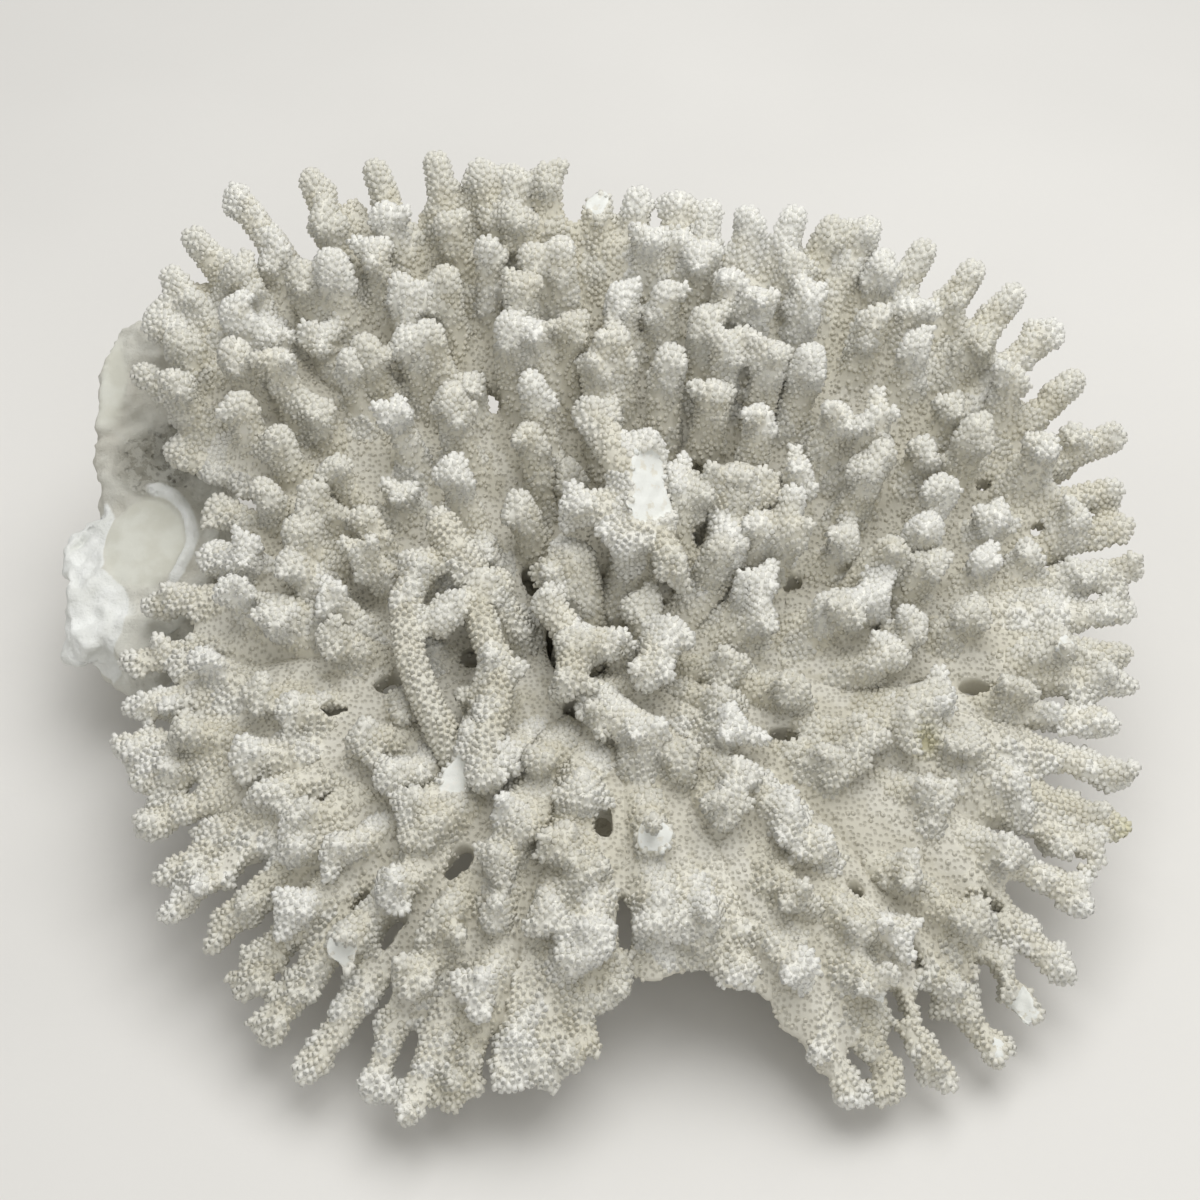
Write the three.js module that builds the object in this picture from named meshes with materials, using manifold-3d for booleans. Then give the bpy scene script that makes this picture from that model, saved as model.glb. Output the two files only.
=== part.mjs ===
// Staghorn coral colony: a low spreading table of fused branches on a short trunk.
//
// Millimetres, +Z up. The origin is the centre of the flat cut under the trunk. Places on
// the colony are given as an azimuth in degrees, counter-clockwise from +X, and a distance
// from the trunk's axis. The table dips to the front (-Y) and rises to the back (+Y).

import * as THREE from "three";
import Module from "manifold-3d";
import { mergeVertices } from "three/addons/utils/BufferGeometryUtils.js";

const wasm = await Module();
wasm.setup();

// Driving dimensions.

const seam = 0.3;               // gap between neighbouring pieces
const centreHeight = 58;        // height of the stems' axes over the trunk's axis
const tableReach = 180;         // distance at which the slope and bend below are given
const slope = { all: 40, back: 32.5, both: 22.5 };
const bend = { all: -35, back: 35, both: -5 };

const cutRadius = 56;           // holdfast: half width of the flat cut
const waistRadius = 46;
const headRadius = 52;
const headDepth = 10.5;         // from the stems' axes down to the holdfast's top

const slab = { start: 24, rows: 2, margin: 30, thick: 14 };
const stem = { overlap: 9, wide: 9, wideEnd: 6.4, tall: 6.6, tallEnd: 6, sides: 5 };
const finger = { foot: 8, tip: 5.4, sides: 4 };
const fingerRise = { level: 23, change: 5 };    // tip above the stems' axes
const fingerReach = { level: 22, change: -6 };  // tip outboard of the foot
const fullChange = 0.35;        // sine of the azimuth where rise and reach stop changing

// The main limbs, each with its two flanks, the rim fingers that its stems end in, as
// azimuth, distance and lift above the table, and the tips of its upright fingers, as
// azimuth and distance.

const limbs = [
  {
    name: "limb_01", from: 346, to: 368,
    rims: [[348, 184, 12], [353, 189, 12], [357, 188, 12], [362, 191, 12], [366, 195, 12]],
    fingers: [[354, 56], [359, 90], [366, 55], [355, 110], [358, 132], [355, 165], [365, 118]],
  },
  {
    name: "limb_02", from: 8, to: 29,
    rims: [[11, 196, 12], [15, 196, 12], [20, 204, 14], [26, 196, 20]],
    fingers: [[17, 127], [25, 108], [22, 66], [20, 44], [18, 168], [23, 147], [11, 110]],
  },
  {
    name: "limb_03", from: 29, to: 51,
    rims: [[31, 196, 24], [36, 190, 26], [41, 184, 26], [47, 177, 26]],
    fingers: [[32, 83], [36, 62], [32, 117], [48, 83], [48, 112], [38, 145]],
  },
  {
    name: "limb_04", from: 51, to: 73,
    rims: [[54, 170, 26], [58, 162, 26], [63, 156, 26], [69, 149, 26]],
    fingers: [[54, 104], [62, 81], [66, 100], [68, 121], [58, 130], [58, 49]],
  },
  {
    name: "limb_05", from: 73, to: 96,
    rims: [[75, 148, 26], [80, 147, 26], [86, 148, 26], [92, 149, 26]],
    fingers: [[76, 55], [76, 87], [79, 110], [76, 128], [88, 111], [91, 88]],
  },
  {
    name: "limb_06", from: 96, to: 116,
    rims: [[99, 157, 26], [104, 161, 26], [108, 166, 26], [113, 175, 26]],
    fingers: [[99, 97], [99, 126], [110, 100], [107, 116], [111, 134], [112, 81]],
  },
  {
    name: "limb_07", from: 116, to: 138,
    rims: [[120, 184, 26], [127, 194, 26], [134, 210, 26]],
    fingers: [[118, 67], [119, 131], [126, 118], [133, 124], [131, 92], [126, 155], [133, 164]],
  },
  {
    name: "limb_08", from: 138, to: 160,
    rims: [[140, 211, 26], [144, 210, 24], [148, 207, 20], [153, 202, 14]],
    fingers: [[141, 104], [140, 131], [143, 75], [147, 150], [149, 168], [155, 182], [157, 112]],
  },
  {
    name: "limb_09", from: 160, to: 186,
    rims: [[163, 176, 6], [169, 172, 0], [175, 170, 0], [182, 165, 0]],
    fingers: [[163, 116], [169, 118], [175, 118], [179, 139], [182, 112], [172, 48]],
  },
  {
    name: "limb_10", from: 186, to: 206,
    rims: [[189, 178, 8], [194, 182, 8], [198, 179, 8], [203, 181, 6]],
    fingers: [[189, 103], [195, 133], [199, 122], [196, 63], [203, 142]],
  },
  {
    name: "limb_11", from: 206, to: 222,
    rims: [[209, 182, 6], [213, 186, 6], [219, 179, 4]],
    fingers: [[209, 140], [216, 136], [214, 58], [216, 104]],
  },
  {
    name: "limb_12", from: 222, to: 240,
    rims: [[225, 180, 2], [230, 184, 2], [236, 186, 2]],
    fingers: [[229, 107], [233, 82], [225, 134], [226, 155], [233, 154], [234, 130]],
  },
  {
    name: "limb_13", from: 240, to: 255,
    rims: [[243, 180, 2], [248, 182, 2], [252, 174, 2]],
    fingers: [[248, 70], [248, 96], [250, 121], [244, 132], [243, 152], [251, 148]],
  },
  {
    name: "limb_14", from: 255, to: 273,
    rims: [[257, 166, 2], [262, 160, 2], [267, 159, 2], [270, 138, 2]],
    fingers: [[262, 78], [261, 102], [259, 122], [267, 127], [267, 47]],
  },
  {
    name: "limb_15", from: 273, to: 293,
    rims: [[277, 124, 0], [283, 128, 0], [289, 136, 0]],
    fingers: [[278, 93], [277, 120], [285, 121], [280, 60], [290, 70]],
  },
  {
    name: "limb_16", from: 293, to: 315,
    rims: [[296, 180, 2], [301, 185, 2], [306, 192, 2], [312, 196, 2]],
    fingers: [[296, 92], [303, 83], [306, 104], [309, 118], [305, 144], [296, 145], [303, 162]],
  },
  {
    name: "limb_17", from: 315, to: 331,
    rims: [[318, 196, 2], [323, 198, 6], [329, 192, 10]],
    fingers: [[322, 102], [328, 105], [328, 135], [318, 166], [318, 56]],
  },
  {
    name: "limb_18", from: 331, to: 346,
    rims: [[334, 190, 12], [338, 194, 12], [343, 191, 12]],
    fingers: [[334, 74], [336, 115], [338, 138], [336, 156], [343, 123]],
  },
];

// The short branches that stand on the trunk's head inside the ring of limbs: where each
// leaves the head, and the azimuth, distance and lift of its tips.

const crown = [
  { name: "crown_back", foot: [92, 13], tips: [[100, 50, 42], [72, 33, 34], [116, 36, 28]] },
  { name: "crown_right", foot: [10, 13], tips: [[12, 27, 26], [42, 38, 26], [350, 34, 22]] },
  { name: "crown_front", foot: [285, 12], tips: [[325, 34, 20], [245, 34, 20]] },
  { name: "crown_left", foot: [190, 14], tips: [[186, 27, 22], [145, 26, 26], [222, 34, 18]] },
];
const crownStub = { radius: 12.5, sides: 5 };

// The lump of dead reef rock that the left flank grew over.

const rock = {
  top: { x: -181, y: 62, halfX: 29, halfY: 71 },
  shoulder: { x: -181, y: 60, halfX: 31, halfY: 73 },
  waist: { x: -172, y: 72, halfX: 27, halfY: 48 },
  foot: { x: -165, y: 82, halfX: 25, halfY: 32 },
  waistHeight: 26,
  shoulderDepth: 20,
  buried: 6,                    // how far its back end lies below the stems
  bareFrom: 92, bareTo: 62,     // between these its top climbs to the stems' height
  sides: 14,
};

const DEGREE = Math.PI / 180;
const UP = new THREE.Vector3(0, 0, 1);

// Height of the stems' axes at a place on the table.
function tableHeight(azimuth, distance) {
  const back = Math.sin(azimuth * DEGREE);
  const out = distance / tableReach;
  const rise = slope.all + slope.back * back + slope.both * back * back;
  const curl = bend.all + bend.back * back + bend.both * back * back;
  return centreHeight + rise * out + curl * out * out;
}

function place(azimuth, distance, lift = 0) {
  return new THREE.Vector3(
    distance * Math.cos(azimuth * DEGREE),
    distance * Math.sin(azimuth * DEGREE),
    tableHeight(azimuth, distance) + lift,
  );
}

// A value that differs from front to back, and is level on the two sides.
function byAzimuth(range, azimuth) {
  const share = THREE.MathUtils.clamp(Math.sin(azimuth * DEGREE) / fullChange, -1, 1);
  return range.level + range.change * share;
}

// Rings of points joined into one closed skin, with a flat fan at each end.
function skin(rings) {
  const sides = rings[0].length;
  const points = rings.flat().flatMap((point) => [point.x, point.y, point.z]);
  const faces = [];
  for (let ring = 0; ring < rings.length - 1; ring += 1) {
    for (let side = 0; side < sides; side += 1) {
      const a = ring * sides + side;
      const b = ring * sides + (side + 1) % sides;
      faces.push(a, b, b + sides, a, b + sides, a + sides);
    }
  }
  const last = (rings.length - 1) * sides;
  for (let side = 1; side < sides - 1; side += 1) {
    faces.push(0, side + 1, side);
    faces.push(last, last + side, last + side + 1);
  }
  return new wasm.Manifold(new wasm.Mesh({
    numProp: 3,
    vertProperties: new Float32Array(points),
    triVerts: new Uint32Array(faces),
  }));
}

// A tapering branch through some points, wide across and tall up and down.
function branch(path, wide, tall, sides, grow = 0) {
  const rings = path.map((point, index) => {
    const before = path[Math.max(index - 1, 0)];
    const after = path[Math.min(index + 1, path.length - 1)];
    const along = after.clone().sub(before).normalize();
    const across = new THREE.Vector3().crossVectors(UP, along);
    if (across.length() < 0.05) across.set(1, 0, 0);
    across.normalize();
    const over = new THREE.Vector3().crossVectors(along, across);
    const share = index / (path.length - 1);
    const ends = index === 0 ? -grow : index === path.length - 1 ? grow : 0;
    const halfWide = THREE.MathUtils.lerp(wide[0], wide[1], share) + grow;
    const halfTall = THREE.MathUtils.lerp(tall[0], tall[1], share) + grow;
    return Array.from({ length: sides }, (_, side) => {
      const turn = (side + 0.5) / sides * 2 * Math.PI;
      return point.clone().addScaledVector(along, ends)
        .addScaledVector(across, -halfWide * Math.cos(turn))
        .addScaledVector(over, -halfTall * Math.sin(turn));
    });
  });
  return skin(rings);
}

// Where a limb's stems part from each other.
function plateEdge(limb) {
  return Math.min(...limb.rims.map((rim) => rim[1])) - slab.margin;
}

// The part of a limb where its stems are fused side by side into a plate.
function fusedPlate(limb) {
  const edge = plateEdge(limb);
  const rows = Array.from({ length: slab.rows + 1 }, (_, row) => {
    const share = row / slab.rows;
    const distance = THREE.MathUtils.lerp(slab.start, edge, share);
    const half = slab.thick / 2;
    const flank = seam / distance / DEGREE;
    const turns = [limb.from + flank, (limb.from + limb.to) / 2, limb.to - flank];
    const over = turns.map((turn) => place(turn, distance, half)).reverse();
    const under = turns.map((turn) => place(turn, distance, -half));
    return [...under, ...over];
  });
  return skin(rows);
}

function fingerBranch(foot, tip, grow = 0) {
  const size = [finger.foot, finger.tip];
  return branch([foot, tip], size, size, finger.sides, grow);
}

function limbBranches(limb) {
  const parts = [fusedPlate(limb)];
  for (const [azimuth, reach, lift] of limb.rims) {
    const path = [place(azimuth, plateEdge(limb) - stem.overlap), place(azimuth, reach, lift)];
    parts.push(branch(path, [stem.wide, stem.wideEnd], [stem.tall, stem.tallEnd], stem.sides));
  }
  for (const [azimuth, distance] of limb.fingers) {
    const reach = byAzimuth(fingerReach, azimuth);
    const foot = place(azimuth, Math.max(distance - reach, slab.start + finger.foot));
    const tip = place(azimuth, distance, byAzimuth(fingerRise, azimuth));
    parts.push(fingerBranch(foot, tip));
  }
  return wasm.Manifold.union(parts);
}

// The wedge of space that a limb may fill, half a seam inside each of its two flanks.
function limbWedge(limb) {
  const near = 20;
  const far = 300;
  const corner = (azimuth, distance, side) => {
    const offset = side * seam / 2;
    return new THREE.Vector2(distance, offset)
      .rotateAround(new THREE.Vector2(), azimuth * DEGREE);
  };
  const outline = new THREE.Shape([
    corner(limb.from, near, 1),
    corner(limb.from, far, 1),
    corner(limb.to, far, -1),
    corner(limb.to, near, -1),
  ]);
  return solidFrom(new THREE.ExtrudeGeometry(outline, { depth: far, bevelEnabled: false }));
}

function solidFrom(geometry) {
  geometry.deleteAttribute("normal");
  geometry.deleteAttribute("uv");
  const merged = mergeVertices(geometry, 1e-4);
  return new wasm.Manifold(new wasm.Mesh({
    numProp: 3,
    vertProperties: new Float32Array(merged.attributes.position.array),
    triVerts: new Uint32Array(merged.index.array),
  }));
}

// The trunk: knobbly below, flaring to a shallow dish that carries the limbs.
function holdfast(grow = 0) {
  const sides = 14;
  const ring = (radius, height) => Array.from({ length: sides }, (_, side) => {
    const azimuth = side / sides * 360;
    const knobs = 1 + 0.05 * Math.sin(3 * azimuth * DEGREE + 1) + 0.04 * Math.sin(5 * azimuth * DEGREE);
    const distance = radius * knobs + grow;
    const point = place(azimuth, distance);
    point.z = height(azimuth, distance);
    return point;
  });
  const top = (azimuth, distance) => tableHeight(azimuth, distance) - headDepth + grow;
  return skin([
    ring(cutRadius, () => -grow),
    ring((cutRadius + waistRadius) / 2, () => 11),
    ring(waistRadius, () => 24),
    ring(headRadius, (azimuth, distance) => top(azimuth, distance) - 12),
    ring(headRadius, top),
    ring(headRadius / 2, top),
    ring(3, top),
  ]);
}

function rockLump(grow = 0) {
  const ring = (shape, height) => Array.from({ length: rock.sides }, (_, side) => {
    const turn = side / rock.sides * 2 * Math.PI;
    const lumps = 1 + 0.07 * Math.sin(3 * turn + 2) + 0.05 * Math.sin(5 * turn);
    const x = shape.x + (shape.halfX * lumps + grow) * Math.cos(turn);
    const y = shape.y + (shape.halfY * lumps + grow) * Math.sin(turn);
    return new THREE.Vector3(x, y, height(x, y));
  });
  const surface = (x, y) => {
    const bare = THREE.MathUtils.clamp((rock.bareFrom - y) / (rock.bareFrom - rock.bareTo), 0, 1);
    const height = tableHeight(Math.atan2(y, x) / DEGREE, Math.hypot(x, y));
    return height - rock.buried * (1 - bare) + grow;
  };
  return skin([
    ring(rock.foot, () => -grow),
    ring(rock.waist, () => rock.waistHeight),
    ring(rock.shoulder, (x, y) => surface(x, y) - rock.shoulderDepth),
    ring(rock.top, surface),
    ring({ ...rock.top, halfX: 2, halfY: rock.top.halfY * 0.55 }, surface),
  ]);
}

function crownBranch(item, grow = 0) {
  const [azimuth, distance] = item.foot;
  const foot = place(azimuth, distance, -headDepth + seam);
  const head = place(azimuth, distance, 6);
  const radius = [crownStub.radius, crownStub.radius * 0.8];
  const parts = [branch([foot, head], radius, radius, crownStub.sides, grow)];
  const start = place(azimuth, distance, 0);
  for (const [turn, reach, lift] of item.tips) {
    parts.push(fingerBranch(start, place(turn, reach, lift), grow));
  }
  return wasm.Manifold.union(parts);
}

// The largest single body of a solid, without the crumbs that a cut can leave.
function mainBody(solid) {
  const bodies = solid.decompose();
  return bodies.reduce((best, body) => (body.volume() > best.volume() ? body : best));
}

function meshFrom(name, solid, finish) {
  const { vertProperties, triVerts, numProp } = mainBody(solid).getMesh();
  const geometry = new THREE.BufferGeometry();
  const positions = new THREE.InterleavedBuffer(vertProperties, numProp);
  const flat = new Float32Array(positions.count * 3);
  for (let index = 0; index < positions.count; index += 1) {
    flat.set(vertProperties.subarray(index * numProp, index * numProp + 3), index * 3);
  }
  geometry.setAttribute("position", new THREE.BufferAttribute(flat, 3));
  geometry.setIndex(new THREE.BufferAttribute(new Uint32Array(triVerts), 1));
  geometry.computeVertexNormals();
  const mesh = new THREE.Mesh(geometry, new THREE.MeshStandardMaterial({ ...finish, metalness: 0 }));
  mesh.name = name;
  return mesh;
}

const finishes = {
  branch: { color: 0xd6d1c3, roughness: 0.9 },
  crown: { color: 0xe4e0d4, roughness: 0.9 },
  holdfast: { color: 0xbdb6a6, roughness: 0.95 },
  rock: { color: 0xd9d8d0, roughness: 0.85 },
};

const colony = new THREE.Group();

colony.add(meshFrom("holdfast", holdfast(), finishes.holdfast));
colony.add(meshFrom("base_rock", rockLump(), finishes.rock));

const fixed = [holdfast(seam), rockLump(seam)];
for (const item of crown) {
  const solid = crownBranch(item).subtract(wasm.Manifold.union(fixed));
  colony.add(meshFrom(item.name, solid, finishes.crown));
  fixed.push(crownBranch(item, seam));
}

const taken = wasm.Manifold.union(fixed);
for (const limb of limbs) {
  const solid = limbBranches(limb).intersect(limbWedge(limb)).subtract(taken);
  colony.add(meshFrom(limb.name, solid, finishes.branch));
}

export default colony;
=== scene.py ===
# %% [markdown]
# # A bleached staghorn coral colony
# The object is one branching skeleton: a short trunk, eighteen main limbs fused side by side
# into a low table, hundreds of upright fingers, and a lump of dead reef rock on the left.
# Its whole surface is set with corallites, the little cups in which the polyps lived.
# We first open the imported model, whose solids give every place and size.

# %% The frame
import math
import random

import bmesh
import bpy
import numpy as np
from mathutils import Matrix, Quaternion, Vector, kdtree, noise


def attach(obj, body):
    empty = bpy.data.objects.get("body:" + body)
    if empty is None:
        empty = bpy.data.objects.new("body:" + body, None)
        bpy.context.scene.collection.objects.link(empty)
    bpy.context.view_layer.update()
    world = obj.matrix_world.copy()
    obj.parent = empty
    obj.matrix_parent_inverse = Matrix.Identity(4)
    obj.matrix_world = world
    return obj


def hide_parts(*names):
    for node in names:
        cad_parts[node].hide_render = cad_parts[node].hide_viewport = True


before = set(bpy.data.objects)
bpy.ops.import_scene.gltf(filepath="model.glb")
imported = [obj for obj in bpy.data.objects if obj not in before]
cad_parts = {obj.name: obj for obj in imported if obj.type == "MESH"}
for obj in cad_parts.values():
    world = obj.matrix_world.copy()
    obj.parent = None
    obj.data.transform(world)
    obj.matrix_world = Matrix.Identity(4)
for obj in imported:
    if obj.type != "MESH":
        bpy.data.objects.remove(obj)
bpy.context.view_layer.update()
MM = 0.001
DEGREE = math.pi / 180

# %% [markdown]
# ## Camera
# A camera can be aimed with a Track To constraint, or placed by plain trigonometry. The
# second keeps the aim exact: it stands back from a target inside the colony, along a line
# that climbs at a fixed elevation, and looks down that line.

# %% Camera
LOOK_AT = Vector((-4.4, 7.1, 80.0)) * MM
ELEVATION = 48 * DEGREE
DISTANCE = 700 * MM
LENS = 57.7

camera_data = bpy.data.cameras.new("camera")
camera_data.sensor_width = 36
camera_data.lens = LENS
camera = bpy.data.objects.new("camera", camera_data)
camera.location = LOOK_AT + Vector((0, -math.cos(ELEVATION), math.sin(ELEVATION))) * DISTANCE
camera.rotation_euler = (math.pi / 2 - ELEVATION, 0, 0)
bpy.context.scene.collection.objects.link(camera)
bpy.context.scene.camera = camera
print("camera at", tuple(round(value, 3) for value in camera.location))

# %% [markdown]
# ## The table
# The stems of the colony lie on one smooth dished surface that rises to the back and droops
# to the front. Writing that surface as a formula of azimuth and distance means that every
# stem and finger can be placed by two numbers, and all of them stay in agreement with the
# solids, which use the same formula.

# %% The table's height
CENTRE_HEIGHT = 58.0
TABLE_REACH = 180.0
# at the sides, the change from side to back, and what back and front share
SLOPE = (40, 32.5, 22.5)
BEND = (-35, 35, -5)


def table_height(azimuth, distance):
    """Height of the stems' axes in millimetres."""
    back = math.sin(azimuth * DEGREE)
    out = distance / TABLE_REACH
    slope, bend = (sides + change * back + shared * back * back
                   for sides, change, shared in (SLOPE, BEND))
    return CENTRE_HEIGHT + slope * out + bend * out * out


def place(azimuth, distance, lift=0.0):
    """The point over the table at an azimuth, a distance and a lift in millimetres."""
    turn = azimuth * DEGREE
    height = table_height(azimuth, distance) + lift
    return Vector((distance * math.cos(turn), distance * math.sin(turn), height)) * MM


print("table height at the back rim:", round(table_height(90, 150), 1), "mm")

# %% [markdown]
# ## The limbs
# A natural form could be grown by a random rule, but then it would be any colony and not
# this one. So each limb lists its first and last azimuth, its rim fingers (azimuth, distance,
# lift) and the tips of its upright fingers (azimuth, distance). Rules only add
# the small things.

# %% Limbs and their fingers
LIMBS = {
    "limb_01": (346, 368,
        [(348, 184, 12), (353, 189, 12), (357, 188, 12), (362, 191, 12), (366, 195, 12)],
        [(354, 56), (359, 81), (356, 86), (360, 97), (366, 55), (355, 110), (358, 132),
         (355, 165), (365, 118), (348, 103), (368, 103)]),
    "limb_02": (8, 29,
        [(11, 196, 12), (15, 196, 12), (20, 204, 14), (26, 196, 20)],
        [(17, 127), (24, 105), (26, 112), (24, 60), (18, 70), (20, 44), (26, 75), (18, 168),
         (23, 147), (11, 118), (28, 170)]),
    "limb_03": (29, 51,
        [(31, 196, 24), (36, 190, 26), (41, 184, 26), (47, 177, 26)],
        [(32, 83), (35, 65), (32, 117), (37, 106), (48, 83), (48, 112), (42, 61), (38, 145),
         (45, 142), (34, 168), (50, 160)]),
    "limb_04": (51, 73,
        [(54, 170, 26), (58, 162, 26), (63, 156, 26), (69, 149, 26)],
        [(54, 104), (62, 81), (63, 98), (70, 104), (68, 121), (62, 119), (55, 132), (62, 50),
         (54, 49), (60, 140)]),
    "limb_05": (73, 96,
        [(75, 148, 26), (80, 147, 26), (86, 148, 26), (92, 149, 26)],
        [(76, 55), (75, 87), (79, 110), (75, 128), (88, 110), (89, 92), (94, 86), (84, 128)]),
    "limb_06": (96, 116,
        [(99, 157, 26), (104, 161, 26), (108, 166, 26), (113, 175, 26)],
        [(99, 97), (99, 125), (107, 98), (112, 103), (108, 114), (104, 126), (111, 133),
         (112, 81), (105, 142), (115, 150)]),
    "limb_07": (116, 138,
        [(120, 184, 26), (127, 194, 26), (134, 210, 26)],
        [(118, 67), (119, 131), (126, 118), (130, 121), (136, 130), (131, 92), (126, 155),
         (126, 137), (132, 160), (135, 168), (135, 50), (122, 165), (129, 178)]),
    "limb_08": (138, 160,
        [(140, 211, 26), (144, 210, 24), (148, 207, 20), (153, 202, 14), (158, 180, 8)],
        [(141, 104), (139, 131), (143, 75), (147, 150), (149, 166), (144, 178), (154, 155),
         (155, 181), (157, 112), (157, 70), (150, 190), (140, 185)]),
    "limb_09": (160, 186,
        [(163, 158, 4), (169, 156, 0), (175, 174, 0), (182, 180, 0)],
        [(163, 116), (169, 118), (175, 118), (179, 139), (182, 120), (181, 103), (172, 93),
         (184, 124)]),
    "limb_10": (186, 206,
        [(189, 178, 8), (194, 182, 8), (198, 179, 8), (203, 181, 6)],
        [(189, 103), (195, 133), (199, 122), (203, 142)]),
    "limb_11": (206, 222,
        [(209, 182, 6), (213, 186, 6), (219, 179, 4)],
        [(209, 140), (216, 136), (221, 104), (211, 104), (219, 143)]),
    "limb_12": (222, 240,
        [(225, 180, 2), (230, 184, 2), (236, 186, 2)],
        [(228, 107), (234, 106), (230, 87), (236, 75), (224, 134), (225, 155), (233, 154),
         (232, 114), (235, 131)]),
    "limb_13": (240, 255,
        [(243, 180, 2), (248, 182, 2), (252, 174, 2)],
        [(248, 70), (246, 91), (251, 94), (249, 108), (251, 123), (244, 131), (243, 151),
         (252, 148)]),
    "limb_14": (255, 273,
        [(257, 166, 2), (261, 161, 2), (265, 157, 2), (269, 138, 2)],
        [(262, 78), (259, 98), (264, 104), (259, 122), (267, 126), (264, 132), (267, 47)]),
    "limb_15": (273, 293,
        [(277, 124, 0), (283, 128, 0), (289, 136, 0)],
        [(278, 93), (277, 121), (285, 122), (280, 60), (291, 69)]),
    "limb_16": (293, 315,
        [(296, 180, 2), (301, 185, 2), (306, 192, 2), (312, 196, 2)],
        [(295, 92), (303, 83), (311, 69), (306, 104), (308, 117), (299, 126), (305, 144),
         (309, 153), (295, 145), (303, 161)]),
    "limb_17": (315, 331,
        [(318, 196, 2), (323, 198, 6), (329, 192, 10)],
        [(322, 102), (330, 105), (328, 135), (318, 166), (317, 55)]),
    "limb_18": (331, 346,
        [(334, 190, 12), (338, 194, 12), (343, 191, 12)],
        [(333, 74), (333, 50), (336, 115), (338, 138), (336, 155), (344, 123), (341, 119)]),
}
print(len(LIMBS), "limbs,", sum(len(limb[3]) for limb in LIMBS.values()), "chosen fingers")

# %% [markdown]
# ## Branches as tapering tubes
# Each branch is first a closed tube: rings of points swept along a path, with a dome on the
# far end. A curve object with a bevel would do the same, but plain rings let the section be
# wider than tall, and let us keep a sample of the axis at every ring. Those samples later
# tell the surface which way the branch grows and how near a tip it is.

# %% Tubes and their samples
RING_SIDES = 10
DOME_TURNS = (0.45, 0.85, 1.2)
UPRIGHT = 0.05


class Skeleton:
    """Closed tubes gathered into one mesh, and samples along their axes."""

    def __init__(self, fatten):
        self.points, self.faces, self.samples = [], [], []
        self.fatten = fatten

    def tube(self, path, wide, tall, tip, cup, tint=0.5):
        """A tube along path. wide, tall, tip and cup are values at its start and end."""
        first, last_step = len(self.points), len(path) - 1
        rings = []
        for index, point in enumerate(path):
            share = index / last_step
            along = (path[min(index + 1, last_step)] - path[max(index - 1, 0)]).normalized()
            half = tuple(ends[0] + (ends[1] - ends[0]) * share + self.fatten
                         for ends in (wide, tall))
            rings.append((point, along, half))
            marks = tuple(ends[0] + (ends[1] - ends[0]) * share for ends in (tip, cup))
            self.samples.append((point, along, *marks, tint))
        end, along, half = rings[-1]
        for turn in DOME_TURNS:
            centre = end + along * (math.sin(turn) * min(half) * MM)
            rings.append((centre, along, tuple(size * math.cos(turn) for size in half)))
        for point, along, (half_wide, half_tall) in rings:
            across = Vector((0, 0, 1)).cross(along)
            across = across.normalized() if across.length > UPRIGHT else Vector((1, 0, 0))
            over = along.cross(across)
            for side in range(RING_SIDES):
                turn = 2 * math.pi * side / RING_SIDES
                self.points.append(point + across * (half_wide * MM * math.cos(turn))
                                   + over * (half_tall * MM * math.sin(turn)))
        for ring in range(len(rings) - 1):
            start = first + ring * RING_SIDES
            for side in range(RING_SIDES):
                after = (side + 1) % RING_SIDES
                self.faces.append((start + side, start + after,
                                   start + RING_SIDES + after, start + RING_SIDES + side))
        last = first + (len(rings) - 1) * RING_SIDES
        self.faces.append(tuple(reversed(range(first, first + RING_SIDES))))
        self.faces.append(tuple(range(last, last + RING_SIDES)))


print("tube sides:", RING_SIDES)

# %% [markdown]
# Two kinds of path feed the tubes. A finger bends once, so three points and a quadratic curve
# are enough for it. A linked branch winds, so it needs a line that passes through every point.

# %% Paths
LINE_STEPS = 5


def bend_path(start, middle, end, steps):
    """Points along a bent line that leaves start towards middle and arrives at end."""
    path = []
    for index in range(steps):
        share = index / (steps - 1)
        path.append(start.lerp(middle, share).lerp(middle.lerp(end, share), share))
    return path


def smooth_path(points):
    """A Catmull-Rom line through all the points."""
    path = []
    for index in range(len(points) - 1):
        before, start = points[max(index - 1, 0)], points[index]
        end, beyond = points[index + 1], points[min(index + 2, len(points) - 1)]
        for step in range(LINE_STEPS):
            t = step / LINE_STEPS
            path.append(0.5 * (2 * start + (end - before) * t
                               + (2 * before - 5 * start + 4 * end - beyond) * t * t
                               + (3 * start - before - 3 * end + beyond) * t ** 3))
    return path + [points[-1]]


print("steps between two points of a winding line:", LINE_STEPS)

# %% [markdown]
# ## Front and back
# The fingers at the back of the colony stand taller and steeper than those at the front. Two
# sets of sizes would show a border, so one helper blends any size by azimuth.

# %% Sizes that change from front to back
FULL_CHANGE = 0.35


def clamp(value, low, high):
    return max(low, min(high, value))


def by_azimuth(level, change, azimuth):
    """A value that differs from front to back and is level on the two sides."""
    share = clamp(math.sin(azimuth * DEGREE) / FULL_CHANGE, -1.0, 1.0)
    return level + change * share


print("a size of 10, change 2, is", by_azimuth(10, 2, 270), "to", by_azimuth(10, 2, 90))

# %% [markdown]
# ## Lobes and knobs
# Fingers end in one to five short lobes and carry a few knobs lower down. They differ from
# finger to finger, so they could be sculpted one by one or drawn by a rule. A random
# generator with a fixed seed draws them here, and each run draws the same.

# %% Lobe and knob makers
LOBE_RADIUS = (3.7, 2.6)
LOBE_LENGTH = (3.0, 7.8)
LOBE_HIGH = 0.97
LOBE_TURN = 2.2
NUB_RADIUS = (3.0, 2.0)
NUB_PROUD = (0.8, 3.4)


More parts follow.
